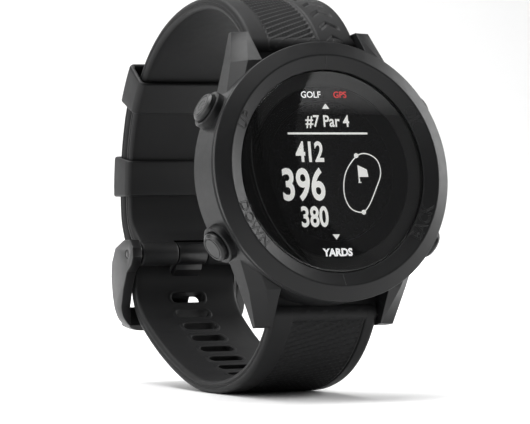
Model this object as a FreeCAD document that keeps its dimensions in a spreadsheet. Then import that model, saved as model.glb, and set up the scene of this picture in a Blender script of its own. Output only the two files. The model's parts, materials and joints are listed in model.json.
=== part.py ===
import FreeCAD, Part
import math
import os

from FreeCAD import Placement, Rotation, Vector

# Golf GPS wrist watch, standing on its closed strap.
# World frame: +X towards 3 o'clock, the dial looks along -Y and leans back a little, +Z up.
# Head frame: X = 3 o'clock, Y = 12 o'clock, Z = out of the dial, origin in the lens's front face.

SIZES = {
    # stance of the head above the floor
    "lean_deg": 10.16, "head_height": 38.18, "head_forward": 29.58,
    # lens, display and bezel
    "lens_radius": 17.0, "lens_thick": 1.0, "lens_gap": 0.05, "mask_thick": 0.2,
    "display_radius": 11.65, "display_thick": 0.9, "guide_radius": 12.6, "guide_thick": 0.5,
    "bezel_radius": 21.85, "ridge_radius": 19.35, "ridge_height": 0.95, "bezel_edge_drop": 0.3,
    "bezel_side": 0.6, "bezel_step": 0.4, "bezel_bottom": 1.4, "seam_gap": 0.35, "seam_depth": 0.5,
    # case shell
    "case_radius": 21.6, "cavity_radius": 18.4, "window_radius": 14.4, "flange_bottom": 2.4,
    "case_taper_top": 8.4, "case_foot_radius": 20.6, "case_bottom": 9.9, "cover_ledge": 9.1,
    "cover_radius": 19.2, "cover_gap": 0.1, "cover_bottom": 10.55, "cover_flat_radius": 17.4,
    "contact_row": 9.0, "contact_pitch": 2.4, "contact_well": 0.55, "contact_pin": 0.54,
    "gasket_width": 0.7, "gasket_thick": 0.2,
    "boss_ring": 16.6, "boss_radius": 1.5, "screw_radius": 0.7, "screw_head": 1.25,
    "screw_sink": 0.8, "screw_length": 4.2, "screw_gap": 0.03,
    # lugs and spring bars
    "lug_gap": 20.4, "lug_tip": 24.8, "bar_reach": 23.0, "bar_depth": 8.2, "bar_radius": 0.9,
    "bar_tip_radius": 0.4, "bar_tip_length": 1.1, "bar_gap": 0.05, "release_travel": 1.2,
    # buttons
    "button_depth": 5.6, "button_angle": 30.0, "cap_radius": 2.5, "cap_face": 23.9,
    "cap_thick": 1.25, "collar_radius": 3.3, "collar_face": 22.75, "cap_gap": 0.1,
    "stem_radius": 0.8, "stem_gap": 0.04, "stem_end": 17.95, "gland_radius": 1.18,
    "ring_section": 0.17, "clip_radius": 1.36, "clip_thick": 0.3, "button_travel": 0.7,
    "collar_from": 20.0, "well_floor": 20.9, "gland_from": 17.0, "guide_from": 16.0,
    "seal_at": 19.5, "button_coil": 1.55, "button_wire": 0.16, "switch_low": 15.8,
    "switch_height": 1.1, "switch_plunger": 0.5, "cap_round": 0.35, "ring_in": 0.8,
    "ring_out": 0.6, "ring_deep": 0.12,
    # electronics
    "frame_thick": 0.6, "stack_gap": 0.15, "board_radius": 17.8, "board_thick": 0.8,
    "battery_length": 24.0, "battery_width": 18.0, "battery_thick": 3.3, "shield_height": 1.3,
    # strap, keepers and buckle
    "strap_width": 20.0, "strap_thick": 2.2, "strap_edge": 0.75, "strap_gap": 0.12,
    "knuckle_radius": 1.9, "knuckle_inset": 0.5, "strap_end_radius": 2.15,
    "hole_width": 6.5, "hole_height": 2.0, "hole_pitch": 3.9,
    "keeper_length": 6.6, "keeper_wall": 0.85, "keeper_gap": 0.12,
    "buckle_drop": 13.8, "buckle_corner": 4.4, "tongue_slot_room": 1.6,
    "buckle_wall": 1.8, "buckle_gap": 0.45, "pin_radius": 0.8, "pin_gap": 0.05,
    "tongue_width": 5.4, "tongue_thick": 1.2, "tongue_hub": 2.0, "hub_gap": 0.25,
}

# flats on a drawn spring wire
WIRE_SIDES = 10

doc = FreeCAD.newDocument("GolfWatch")
nodes = []


class Dim:
    """A length with its value in millimetres and the sheet expression that gives it."""

    def __init__(self, value, text=None):
        self.value = float(value)
        self.text = text if text is not None else repr(float(value))

    def join(self, other, sign, value):
        return Dim(value, "(%s %s %s)" % (self.text, sign, other.text))

    def __add__(self, other):
        other = dim(other)
        return self.join(other, "+", self.value + other.value)

    def __sub__(self, other):
        other = dim(other)
        return self.join(other, "-", self.value - other.value)

    def __mul__(self, other):
        other = dim(other)
        return self.join(other, "*", self.value * other.value)

    def __truediv__(self, other):
        other = dim(other)
        return self.join(other, "/", self.value / other.value)

    def __radd__(self, other):
        return dim(other) + self

    def __rsub__(self, other):
        return dim(other) - self

    def __rmul__(self, other):
        return dim(other) * self

    def __neg__(self):
        return Dim(-self.value, "(-1 * %s)" % self.text)


def dim(number):
    return number if isinstance(number, Dim) else Dim(number)


def fill_sheet():
    """Write the sizes to the spreadsheet and return them by name."""
    sheet = doc.addObject("Spreadsheet::Sheet", "Sizes")
    named = {}
    for row, (name, value) in enumerate(SIZES.items(), start=1):
        sheet.set("A%d" % row, name)
        sheet.set("B%d" % row, str(value))
        sheet.setAlias("B%d" % row, name)
        named[name] = Dim(value, "Sizes." + name)
    doc.recompute()
    return named


class Named:
    """The sizes as attributes."""

    def __init__(self, table):
        self.__dict__.update(table)


S = Named(fill_sheet())


def bind(obj, prop, size):
    """Bind a property to a size of the sheet."""
    obj.setExpression(prop, dim(size).text)


# ---------------------------------------------------------------- frames

LEAN = math.radians(S.lean_deg.value)
HEAD = Placement(Vector(0, -S.head_forward.value, S.head_height.value),
                 Rotation(Vector(1, 0, 0), 90 - S.lean_deg.value))
WORLD = Placement(Vector(0, -S.head_forward.value, S.head_height.value), Rotation())


def side_view(reach, height):
    """A point of the head's 12 o'clock axis and dial normal, seen from the side as (y, z)."""
    y = reach * math.sin(LEAN) - height * math.cos(LEAN)
    z = reach * math.cos(LEAN) + height * math.sin(LEAN)
    return (y, z)


def keep(obj, name, placement=None):
    """Register an object as a finished piece under its node name."""
    obj.Label = name
    if placement is not None:
        obj.Placement = placement
    nodes.append(obj)
    return obj


# ---------------------------------------------------------------- builders

def body(name):
    return doc.addObject("PartDesign::Body", name)


def origin_plane(owner, role):
    return next(f for f in owner.Origin.OriginFeatures if f.Role == role)


def sketch_on(owner, role, height=None):
    """A sketch on one of the body's origin planes, lifted by height along its normal."""
    sketch = owner.newObject("Sketcher::SketchObject", owner.Name + "Sketch")
    sketch.AttachmentSupport = (origin_plane(owner, role), "")
    sketch.MapMode = "FlatFace"
    if height is not None:
        bind(sketch, ".AttachmentOffset.Base.z", height)
    return sketch


def pin_point(sketch, index, place, point):
    """Fix one point of a sketch edge at bound coordinates."""
    import Sketcher
    for kind, size in (("DistanceX", point[0]), ("DistanceY", point[1])):
        size = dim(size)
        row = sketch.addConstraint(Sketcher.Constraint(kind, -1, 1, index, place, size.value))
        bind(sketch, "Constraints[%d]" % row, size)


def add_polygon(sketch, points):
    """A closed outline whose corners are each bound to the sheet."""
    import Sketcher
    corners = [Vector(dim(x).value, dim(y).value, 0) for x, y in points]
    first = sketch.GeometryCount
    count = len(corners)
    for i, start in enumerate(corners):
        sketch.addGeometry(Part.LineSegment(start, corners[(i + 1) % count]), False)
    for i in range(count):
        after = first + (i + 1) % count
        sketch.addConstraint(Sketcher.Constraint("Coincident", first + i, 2, after, 1))
    for i, point in enumerate(points):
        pin_point(sketch, first + i, 1, point)


def add_circle(sketch, centre, radius):
    import Sketcher
    radius = dim(radius)
    middle = Vector(dim(centre[0]).value, dim(centre[1]).value, 0)
    index = sketch.addGeometry(Part.Circle(middle, Vector(0, 0, 1), radius.value), False)
    row = sketch.addConstraint(Sketcher.Constraint("Radius", index, radius.value))
    bind(sketch, "Constraints[%d]" % row, radius)
    pin_point(sketch, index, 3, centre)


def turned(name, profile):
    """A body turned about its Z axis from a (radius, height) profile."""
    owner = body(name)
    sketch = sketch_on(owner, "XZ_Plane")
    add_polygon(sketch, profile)
    turn = owner.newObject("PartDesign::Revolution", name + "Turn")
    turn.Profile = sketch
    turn.ReferenceAxis = (sketch, ["V_Axis"])
    turn.Angle = 360
    owner.Tip = turn
    doc.recompute()
    return owner


def padded(name, bottom, thick, outline=None, circles=()):
    """A body padded up from a height, from a polygon and/or circles."""
    owner = body(name)
    sketch = sketch_on(owner, "XY_Plane", bottom)
    if outline:
        add_polygon(sketch, outline)
    for centre, radius in circles:
        add_circle(sketch, centre, radius)
    pad = owner.newObject("PartDesign::Pad", name + "Pad")
    pad.Profile = sketch
    bind(pad, "Length", thick)
    owner.Tip = pad
    doc.recompute()
    return owner


def rectangle(centre_x, centre_y, length, width):
    half_x = dim(length) / 2
    half_y = dim(width) / 2
    centre_x = dim(centre_x)
    centre_y = dim(centre_y)
    return [(centre_x - half_x, centre_y - half_y), (centre_x + half_x, centre_y - half_y),
            (centre_x + half_x, centre_y + half_y), (centre_x - half_x, centre_y + half_y)]


def rounded(owner, radius, chosen, name="Round"):
    """Round the body's edges that the test picks."""
    tip = owner.Tip
    picked = [i for i, edge in enumerate(tip.Shape.Edges, start=1) if chosen(edge)]
    fillet = owner.newObject("PartDesign::Fillet", owner.Name + name)
    fillet.Base = (tip, ["Edge%d" % i for i in picked])
    fillet.Radius = radius
    owner.Tip = fillet
    doc.recompute()
    return owner


def rod(name, radius, length, placement):
    """A cylinder along its own Z, with bound sizes."""
    cylinder = doc.addObject("Part::Cylinder", name)
    bind(cylinder, "Radius", radius)
    bind(cylinder, "Height", length)
    cylinder.Placement = placement
    return cylinder


def block(name, size_x, size_y, size_z, placement):
    """A box centred on its placement in X and Y, rising from it in Z."""
    box = doc.addObject("Part::Box", name)
    bind(box, "Length", size_x)
    bind(box, "Width", size_y)
    bind(box, "Height", size_z)
    corner = Vector(-dim(size_x).value / 2, -dim(size_y).value / 2, 0)
    box.Placement = placement.multiply(Placement(corner, Rotation()))
    return box


def fuse(name, shapes):
    joined = doc.addObject("Part::MultiFuse", name)
    joined.Shapes = shapes
    return joined


def cut(name, base, tools):
    """The base less its tools; each tool must take something away."""
    tool = tools[0] if len(tools) == 1 else fuse(name + "Tools", tools)
    result = doc.addObject("Part::Cut", name)
    result.Base = base
    result.Tool = tool
    doc.recompute()
    if result.Shape.Volume >= base.Shape.Volume - 1e-6:
        raise ValueError(name + ": the cut takes nothing away")
    return result


def solid_feature(name, shape):
    feature = doc.addObject("Part::Feature", name)
    feature.Shape = shape
    return feature


def along_x(x, y, z):
    """A placement whose Z runs along world X, starting at a point."""
    return Placement(Vector(x, y, z), Rotation(Vector(0, 1, 0), 90))


# ---------------------------------------------------------------- lens, display and bezel

def make_front():
    lens = turned("Lens", [(0, -S.lens_thick), (S.lens_radius, -S.lens_thick),
                           (S.lens_radius, -0.2), (S.lens_radius - 0.25, 0), (0, 0)])
    keep(lens, "lens", HEAD)
    mask_low = -(S.lens_thick + S.mask_thick)
    mask = turned("Mask", [(S.display_radius + 0.05, mask_low), (S.window_radius, mask_low),
                           (S.window_radius, -S.lens_thick),
                           (S.display_radius + 0.05, -S.lens_thick)])
    keep(mask, "lens_mask_ring", HEAD)
    gasket = turned("LensGasket", [(S.window_radius + 0.15, mask_low),
                                   (S.lens_radius - 0.1, mask_low),
                                   (S.lens_radius - 0.1, -S.lens_thick),
                                   (S.window_radius + 0.15, -S.lens_thick)])
    keep(gasket, "lens_gasket", HEAD)
    display_low = -(S.lens_thick + S.display_thick)
    display = padded("Display", display_low, S.display_thick, circles=[((0, 0), S.display_radius)])
    keep(display, "display_panel", HEAD)
    guide = padded("Guide", display_low - S.guide_thick, S.guide_thick,
                   circles=[((0, 0), S.guide_radius)])
    keep(guide, "display_light_guide", HEAD)


def make_bezel():
    """The ring round the lens: a label band rising outwards, a ridge and an outer chamfer."""
    bore = S.lens_radius + S.lens_gap
    edge = -S.bezel_edge_drop
    side_low = edge - S.bezel_side
    step = S.bezel_radius - S.bezel_step
    bezel = turned("Bezel", [(bore, -S.bezel_bottom), (step, -S.bezel_bottom), (step, side_low),
                             (S.bezel_radius, side_low), (S.bezel_radius, edge),
                             (S.ridge_radius + 0.2, S.ridge_height - 0.06),
                             (S.ridge_radius, S.ridge_height),
                             (S.ridge_radius - 0.2, S.ridge_height - 0.04), (bore, 0)])
    keep(bezel, "bezel_ring", HEAD)


# ---------------------------------------------------------------- case shell

LUG_SECTIONS = [
    # reach from the dial centre, then (sideways, height) corners round the lug:
    # inner top, ridge, outer chamfer foot, side foot, bottom outer, bottom inner
    (13.6, [(0, -1.9), (4.9, -1.9), (6.4, -4.2), (6.5, -8.0), (5.2, -9.7), (0, -9.7)]),
    (19.2, [(0, -2.75), (2.4, -3.25), (4.5, -5.5), (4.6, -8.2), (3.8, -9.7), (0, -9.7)]),
    (24.8, [(0, -6.9), (0.25, -7.1), (2.8, -7.7), (2.8, -8.6), (2.3, -9.4), (0, -9.5)]),
]


def lug(name, side, end):
    """One lug, lofted through its sections and leaned out by its corner list."""
    wires = []
    scale = S.lug_tip.value / LUG_SECTIONS[-1][0]
    for reach, corners in LUG_SECTIONS:
        ring = [Vector(side * (S.lug_gap.value / 2 + x), end * reach * scale, z)
                for x, z in corners]
        section = doc.addObject("Part::Polygon", name + "Section")
        section.Nodes = ring
        section.Close = True
        wires.append(section)
    loft = doc.addObject("Part::Loft", name)
    loft.Sections = wires
    loft.Solid = True
    loft.Ruled = True
    doc.recompute()
    return loft


def button_places():
    """Each button's name with its direction angle, counted from 3 o'clock."""
    turn = S.button_angle.value
    return [("ok", turn), ("up", 180 - turn), ("down", 180 + turn), ("back", -turn)]


def radial(angle, start):
    """A placement whose Z runs outwards along a button's axis, in the head frame."""
    direction = Rotation(Vector(0, 0, 1), angle).multiply(Rotation(Vector(0, 1, 0), 90))
    out = Vector(math.cos(math.radians(angle)), math.sin(math.radians(angle)), 0)
    return Placement(out * start + Vector(0, 0, -S.button_depth.value), direction)


def boss_points():
    ring = S.boss_ring.value
    return [(ring * math.cos(math.radians(a)), ring * math.sin(math.radians(a)))
            for a in (58, 122, 238, 302)]


def make_case():
    """The moulded shell: wall, window flange, screw bosses, button collars and lugs."""
    groove = S.case_radius - S.seam_depth
    wall_top = -(S.bezel_bottom + S.seam_gap)
    pocket = S.cover_radius + S.cover_gap
    top = -(S.lens_thick + S.mask_thick)
    wall = turned("Wall", [(S.window_radius, -S.flange_bottom), (S.window_radius, top),
                           (S.lens_radius, top), (S.lens_radius, -S.bezel_bottom),
                           (groove, -S.bezel_bottom), (groove, wall_top),
                           (S.case_radius - 0.2, wall_top), (S.case_radius, wall_top - 0.25),
                           (S.case_radius, -S.case_taper_top),
                           (S.case_foot_radius, -S.case_bottom), (pocket, -S.case_bottom),
                           (pocket, -S.cover_ledge), (S.cavity_radius, -S.cover_ledge),
                           (S.cavity_radius, -S.flange_bottom)])
    pieces = [wall]
    for side in (-1, 1):
        for end in (-1, 1):
            pieces.append(lug("Lug", side, end))
    for x, y in boss_points():
        low = S.cover_ledge + S.gasket_thick
        pieces.append(rod("Boss", S.boss_radius, low - S.flange_bottom + 0.1,
                          Placement(Vector(x, y, -low.value), Rotation())))
    for name, angle in button_places():
        pieces.append(rod("Collar", S.collar_radius, S.collar_face - S.collar_from,
                          radial(angle, S.collar_from.value)))
    whole = fuse("CaseWhole", pieces)
    doc.recompute()

    inside = rod("Inside", S.cavity_radius - 0.02, S.cover_ledge - S.flange_bottom,
                 Placement(Vector(0, 0, -S.cover_ledge.value), Rotation()))
    bosses = fuse("BossTools", [rod("BossKeep", S.boss_radius, S.cover_bottom,
                                    Placement(Vector(x, y, -S.cover_bottom.value), Rotation()))
                                for x, y in boss_points()])
    tools = [cut("CavityTool", inside, [bosses])]
    for name, angle in button_places():
        well = S.cap_radius + S.cap_gap
        tools.append(rod("Well", well, 4.0, radial(angle, S.well_floor.value)))
        tools.append(rod("Guide", S.stem_radius + S.stem_gap, 8.0,
                         radial(angle, S.guide_from.value)))
        tools.append(rod("Gland", S.gland_radius, 3.2, radial(angle, S.gland_from.value)))
    for x, y in boss_points():
        low = S.cover_bottom + 0.1
        tools.append(rod("ScrewBore", S.screw_radius + S.screw_gap,
                         S.screw_length + S.screw_sink, Placement(Vector(x, y, -low.value),
                                                                  Rotation())))
    tools.append(rod("CoverPocket", pocket, S.cover_bottom - S.cover_ledge + 0.5,
                     Placement(Vector(0, 0, -S.cover_bottom.value - 0.5), Rotation())))
    for end in (-1, 1):
        bore_half = S.lug_gap / 2 + S.bar_tip_length + 0.2
        start = Vector(-bore_half.value, end * S.bar_reach.value, -S.bar_depth.value)
        tools.append(rod("BarBore", S.bar_tip_radius + S.bar_gap, bore_half * 2,
                         along_x(start.x, start.y, start.z)))
    keep(cut("CaseShell", whole, tools), "case_shell", HEAD)


def make_back():
    """Back cover, its gasket, its four screws and the charging contacts."""
    ledge = -(S.cover_ledge + S.gasket_thick)
    screws = boss_points()
    plate = turned("CoverPlate", [(0, -S.cover_bottom), (S.cover_flat_radius, -S.cover_bottom),
                                  (S.cover_radius, -S.case_bottom), (S.cover_radius, ledge),
                                  (0, ledge)])
    tools = [block("ContactWindow", 10.2, 4.7, 3.0,
                   Placement(Vector(0, -S.contact_row.value, -S.cover_bottom.value - 1),
                             Rotation()))]
    for x, y in screws:
        low = Vector(x, y, -S.cover_bottom.value - 0.5)
        tools.append(rod("HeadWell", S.screw_head + 0.1, S.screw_sink + 0.5,
                         Placement(low, Rotation())))
        tools.append(rod("ScrewHole", S.screw_radius + S.screw_gap, 3.0,
                         Placement(low, Rotation())))
    keep(cut("BackCover", plate, tools), "back_cover", HEAD)

    outer = S.cover_radius
    gasket = turned("CoverGasket", [(outer - S.gasket_width, ledge), (outer, ledge),
                                    (outer, -S.cover_ledge),
                                    (outer - S.gasket_width, -S.cover_ledge)])
    keep(gasket, "back_cover_gasket", HEAD)

    parts = []
    for x, y in screws:
        foot = -S.cover_bottom.value + 0.15
        head = rod("Head", S.screw_head, S.screw_sink - 0.15,
                   Placement(Vector(x, y, foot), Rotation()))
        shank = rod("Shank", S.screw_radius, S.screw_length,
                    Placement(Vector(x, y, foot), Rotation()))
        slot = block("Slot", 1.8, 0.35, 0.35, Placement(Vector(x, y, foot - 0.05), Rotation()))
        parts.append(cut("Screw", fuse("ScrewBlank", [head, shank]), [slot]))
    group = doc.addObject("Part::Compound", "Screws")
    group.Links = parts
    keep(group, "back_cover_screws", HEAD)

    row = -S.contact_row.value
    holder = block("ContactHolder", 10.0, 4.5, 1.05,
                   Placement(Vector(0, row, -10.35), Rotation()))
    spots = [S.contact_pitch.value * k for k in (-1.5, -0.5, 0.5, 1.5)]
    pads = [rod("ContactWell", S.contact_well, 2.0, Placement(Vector(x, row, -11), Rotation()))
            for x in spots]
    keep(cut("ContactBlock", holder, pads), "charging_contact_block", HEAD)
    pins = doc.addObject("Part::Compound", "Pins")
    pins.Links = [rod("ContactPin", S.contact_pin, 0.95,
                      Placement(Vector(x, row, -10.3), Rotation())) for x in spots]
    keep(pins, "charging_contacts", HEAD)


# ---------------------------------------------------------------- electronics

def make_inside():
    """Display frame, board with its parts, battery and bracket, stacked under the dial."""
    clear = [rod("BossClear", S.boss_radius + 0.25, 12.0, Placement(Vector(x, y, -12), Rotation()))
             for x, y in boss_points()]
    clear_tool = fuse("BossClearAll", clear)

    frame_low = S.flange_bottom + S.frame_thick
    frame = padded("FrameDisc", -frame_low, S.frame_thick,
                   circles=[((0, 0), S.cavity_radius - 0.25), ((0, 0), 9.5)])
    keep(cut("DisplayFrame", frame, [clear_tool]), "display_frame", HEAD)

    board_top = frame_low + S.stack_gap
    board_low = board_top + S.board_thick
    disc = padded("BoardDisc", -board_low, S.board_thick, circles=[((0, 0), S.board_radius)])
    keep(cut("Board", disc, [clear_tool]), "main_pcb", HEAD)

    shield_low = board_low + S.shield_height
    shield = padded("Shield", -shield_low, S.shield_height, rectangle(-3.5, 0, 13, 11))
    keep(shield, "processor_shield_can", HEAD)
    radio = padded("Radio", -(board_low + 1.0), 1.0, rectangle(7.5, 0, 6, 6))
    keep(radio, "gps_receiver_chip", HEAD)
    antenna = padded("Antenna", -(board_low + 3.2), 3.2, rectangle(0, 13.4, 11, 4.2))
    keep(antenna, "gps_antenna", HEAD)

    top = shield_low + S.stack_gap
    bracket_low = top + 0.3
    half = S.battery_length / 2 + 0.1
    side = half + 0.4
    foot = S.cover_ledge
    bracket = body("Bracket")
    sketch = sketch_on(bracket, "XZ_Plane")
    add_polygon(sketch, [(-side, -foot), (-half, -foot), (-half, -bracket_low),
                         (half, -bracket_low), (half, -foot), (side, -foot), (side, -top),
                         (-side, -top)])
    pad = bracket.newObject("PartDesign::Pad", "BracketPad")
    pad.Profile = sketch
    bind(pad, "Length", S.battery_width - 5.0)
    pad.Midplane = True
    bracket.Tip = pad
    doc.recompute()
    keep(bracket, "battery_bracket", HEAD)

    battery = padded("Battery", -(bracket_low + S.battery_thick), S.battery_thick,
                     rectangle(0, 0, S.battery_length, S.battery_width))
    rounded(battery, 1.2, lambda e: abs(e.tangentAt(e.FirstParameter).z) > 0.9)
    keep(battery, "battery", HEAD)


# ---------------------------------------------------------------- buttons

def coil(name, radius, wire, length, turns, placement):
    """A compression spring standing along its own Z, its wire drawn with WIRE_SIDES flats."""
    slope = math.atan2(length / turns, 2 * math.pi * radius)
    reach = wire / math.cos(math.pi / WIRE_SIDES)
    section = []
    for k in range(WIRE_SIDES + 1):
        turn = 2 * math.pi * k / WIRE_SIDES
        along = -reach * math.sin(turn)
        section.append(Vector(radius + reach * math.cos(turn), along * math.sin(slope),
                              -along * math.cos(slope)))
    helix = Part.makeHelix(length / turns, length, radius)
    pipe = Part.Wire(helix).makePipeShell([Part.makePolygon(section)], True, True)
    spring = solid_feature(name, Part.Solid(pipe) if pipe.ShapeType == "Shell" else pipe)
    spring.Placement = placement
    return spring


def make_button(name, angle):
    """One push button: cap and stem, seal, return spring, clip and the switch it presses."""
    at = HEAD.multiply(radial(angle, 0))
    cap_low = S.cap_face - S.cap_thick
    face = S.cap_face
    cap = turned("Cap_" + name, [
        (0, S.stem_end), (S.stem_radius, S.stem_end), (S.stem_radius, cap_low),
        (S.cap_radius, cap_low), (S.cap_radius, face - S.cap_round),
        (S.cap_radius - S.cap_round, face), (S.cap_radius - S.ring_out, face),
        (S.cap_radius - S.ring_out, face - S.ring_deep),
        (S.cap_radius - S.ring_in, face - S.ring_deep), (S.cap_radius - S.ring_in, face),
        (0, face)])
    keep(cap, name + "_button", at)

    middle = S.stem_radius + S.ring_section + 0.005
    seal = doc.addObject("Part::Torus", "Seal")
    bind(seal, "Radius1", middle)
    bind(seal, "Radius2", S.ring_section)
    keep(seal, name + "_button_seal", at.multiply(
        Placement(Vector(0, 0, S.seal_at.value), Rotation())))

    clip_at = Placement(Vector(0, 0, S.stem_end.value + 0.1), Rotation())
    disc = rod("ClipDisc", S.clip_radius, S.clip_thick, clip_at)
    bore = rod("ClipBore", S.stem_radius + 0.005, 2.0, clip_at)
    mouth = block("ClipMouth", 2.0, 1.0, 1.0, clip_at.multiply(
        Placement(Vector(1.0, 0, -0.2), Rotation())))
    keep(cut("Clip", disc, [bore, mouth]), name + "_button_clip", at)

    wire = S.button_wire.value
    bottom = S.well_floor.value + 0.05
    height = cap_low.value - bottom - 0.1
    spring = coil("Spring", S.button_coil.value, wire, height - 2 * wire, 2.5,
                  at.multiply(Placement(Vector(0, 0, bottom + wire + 0.01), Rotation())))
    keep(spring, name + "_button_spring")

    switch_top = S.stem_end - S.button_travel - 0.05
    low = S.switch_low.value
    base = block("SwitchBase", 2.6, 3.4, S.switch_height, Placement(Vector(0, 0, low), Rotation()))
    plunger = rod("SwitchPlunger", S.switch_plunger, switch_top - S.switch_low - 0.2,
                  Placement(Vector(0, 0, low + 0.2), Rotation()))
    keep(fuse("Switch", [base, plunger]), name + "_switch", at)


# ---------------------------------------------------------------- spring bars

def make_spring_bar(name, end):
    """Quick-release bar: tube with a fixed tip, a sliding pin with its lever, and the spring."""
    at = HEAD.multiply(Placement(Vector(0, end * S.bar_reach.value, -S.bar_depth.value),
                                 Rotation()))
    half = S.lug_gap / 2
    tip_out = half + S.bar_tip_length
    tube_half = half - 0.5
    bore_end = 1.2
    pin_inner = 5.6

    tube = rod("BarTube", S.bar_radius, tube_half * 2,
               along_x(-tube_half.value, 0, 0))
    fixed = rod("BarTip", S.bar_tip_radius, tip_out, along_x(0, 0, 0))
    bore = rod("BarBoreIn", S.bar_tip_radius + S.bar_gap, tube_half - bore_end,
               along_x(-tube_half.value, 0, 0))
    slot = block("BarSlot", 2.4, 0.96, 3.0, Placement(Vector(-7.1, 0, -3), Rotation()))
    keep(cut("Bar_" + name, fuse("BarBlank", [tube, fixed]), [bore, slot]),
         name + "_spring_bar", at)

    pin = rod("Pin", S.bar_tip_radius, tip_out - pin_inner, along_x(-tip_out.value, 0, 0))
    lever = rod("Lever", 0.38, 2.1, Placement(Vector(-7.8, 0, -2.1), Rotation()))
    knob = rod("Knob", 0.6, 0.5, Placement(Vector(-7.8, 0, -2.5), Rotation()))
    keep(fuse("Pin_" + name, [pin, lever, knob]), name + "_release_pin", at)

    spring = coil("BarSpring", 0.3, 0.07, pin_inner - bore_end - 0.2, 12,
                  at.multiply(along_x(-pin_inner + 0.1, 0, 0)))
    keep(spring, name + "_release_spring")


# ---------------------------------------------------------------- strap path

def turn_left(heading):
    return (-math.sin(heading), math.cos(heading))


class Path:
    """A side-view route of straight runs and tangent arcs, walked from a start point."""

    def __init__(self, start, heading_deg):
        self.here = start
        self.heading = math.radians(heading_deg)
        self.legs = []

    def run(self, length):
        end = (self.here[0] + length * math.cos(self.heading),
               self.here[1] + length * math.sin(self.heading))
        self.legs.append(("run", self.here, self.heading, length, None))
        self.here = end
        return self

    def arc(self, radius, sweep_deg):
        sweep = math.radians(sweep_deg)
        sign = 1 if sweep > 0 else -1
        normal = turn_left(self.heading)
        centre = (self.here[0] + sign * radius * normal[0],
                  self.here[1] + sign * radius * normal[1])
        self.legs.append(("arc", self.here, self.heading, sweep, (centre, radius)))
        self.heading += sweep
        normal = turn_left(self.heading)
        self.here = (centre[0] - sign * radius * normal[0],
                     centre[1] - sign * radius * normal[1])
        return self

    def length(self):
        total = 0.0
        for kind, _, _, amount, round_part in self.legs:
            total += amount if kind == "run" else abs(amount) * round_part[1]
        return total

    def at(self, distance):
        """Point and heading at a distance along the route."""
        for kind, start, heading, amount, round_part in self.legs:
            size = amount if kind == "run" else abs(amount) * round_part[1]
            if distance <= size or (kind, start, heading, amount, round_part) == self.legs[-1]:
                part = Path(start, math.degrees(heading))
                if kind == "run":
                    part.run(distance)
                else:
                    part.arc(round_part[1], math.degrees(amount) * distance / size)
                return part.here, part.heading
            distance -= size
        return self.here, self.heading

    def edges(self, offset):
        """The route moved sideways to its left, as sketch curves in order."""
        curves = []
        for kind, start, heading, amount, round_part in self.legs:
            normal = turn_left(heading)
            first = Vector(start[0] + offset * normal[0], start[1] + offset * normal[1], 0)
            if kind == "run":
                last = first + Vector(math.cos(heading), math.sin(heading), 0) * amount
                curves.append(Part.LineSegment(first, last))
                continue
            centre, radius = round_part
            sign = 1 if amount > 0 else -1
            moved = radius - sign * offset
            from_angle = heading - sign * math.pi / 2
            to_angle = from_angle + amount
            low, high = (from_angle, to_angle) if amount > 0 else (to_angle, from_angle)
            circle = Part.Circle(Vector(centre[0], centre[1], 0), Vector(0, 0, 1), moved)
            curves.append(Part.ArcOfCircle(circle, low, high))
        return curves


def join_arcs(path, target, heading):
    """Bring a path to a target point and heading with two equal-radius arcs and a run."""
    def miss(turn, radius):
        trial = Path(path.here, math.degrees(path.heading))
        trial.arc(radius, -turn)
        back = math.degrees(heading - trial.heading)
        gap = Path(trial.here, math.degrees(trial.heading))
        gap.arc(radius, back)
        dx = target[0] - gap.here[0]
        dy = target[1] - gap.here[1]
        along = dx * math.cos(trial.heading) + dy * math.sin(trial.heading)
        across = -dx * math.sin(trial.heading) + dy * math.cos(trial.heading)
        return across, along, back

    radius = 9.0
    low, high = 1.0, 60.0
    for _ in range(60):
        middle = (low + high) / 2
        across = miss(middle, radius)[0]
        low, high = (middle, high) if across < 0 else (low, middle)
    across, along, back = miss(middle, radius)
    path.arc(radius, -middle).run(along).arc(radius, back)
    return path


def upper_path():
    """From the 12 o'clock spring bar over the top and down the back to the buckle pin."""
    start = side_view(S.bar_reach.value, -S.bar_depth.value)
    path = Path(start, 50.0)
    path.run(0.5).arc(19.0, -50.0).arc(35.0, -28.0).arc(29.0, -48.0).arc(39.0, -20.0)
    return path


def pin_point_side():
    """The buckle pin's centre, in from the end of the upper strap."""
    path = upper_path()
    y, z = path.here
    return (y - 4.55, z - 7.3)


def upper_strap_path():
    path = upper_path()
    path.arc(7.5, -44.0)
    y, z = pin_point_side()
    left = math.hypot(y - path.here[0], z - path.here[1])
    path.run(left)
    return path


def lower_strap_path():
    """From the 6 o'clock spring bar under and up, out past the pin, then along the back."""
    start = side_view(-S.bar_reach.value, -S.bar_depth.value)
    path = Path(start, -65.0)
    path.run(0.4).arc(20.5, 43.0).arc(31.4, 39.5).arc(61.0, 17.5).arc(9.3, 53.0)
    step = S.strap_thick.value + S.strap_gap.value
    top = upper_path()
    end = top.here
    heading = top.heading
    out = turn_left(heading)
    target = (end[0] + step * out[0], end[1] + step * out[1])
    join_arcs(path, target, heading + math.pi)
    path.arc(39.0 + step, 20.0)
    path.arc(29.0 + step, 19.0)
    return path


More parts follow.
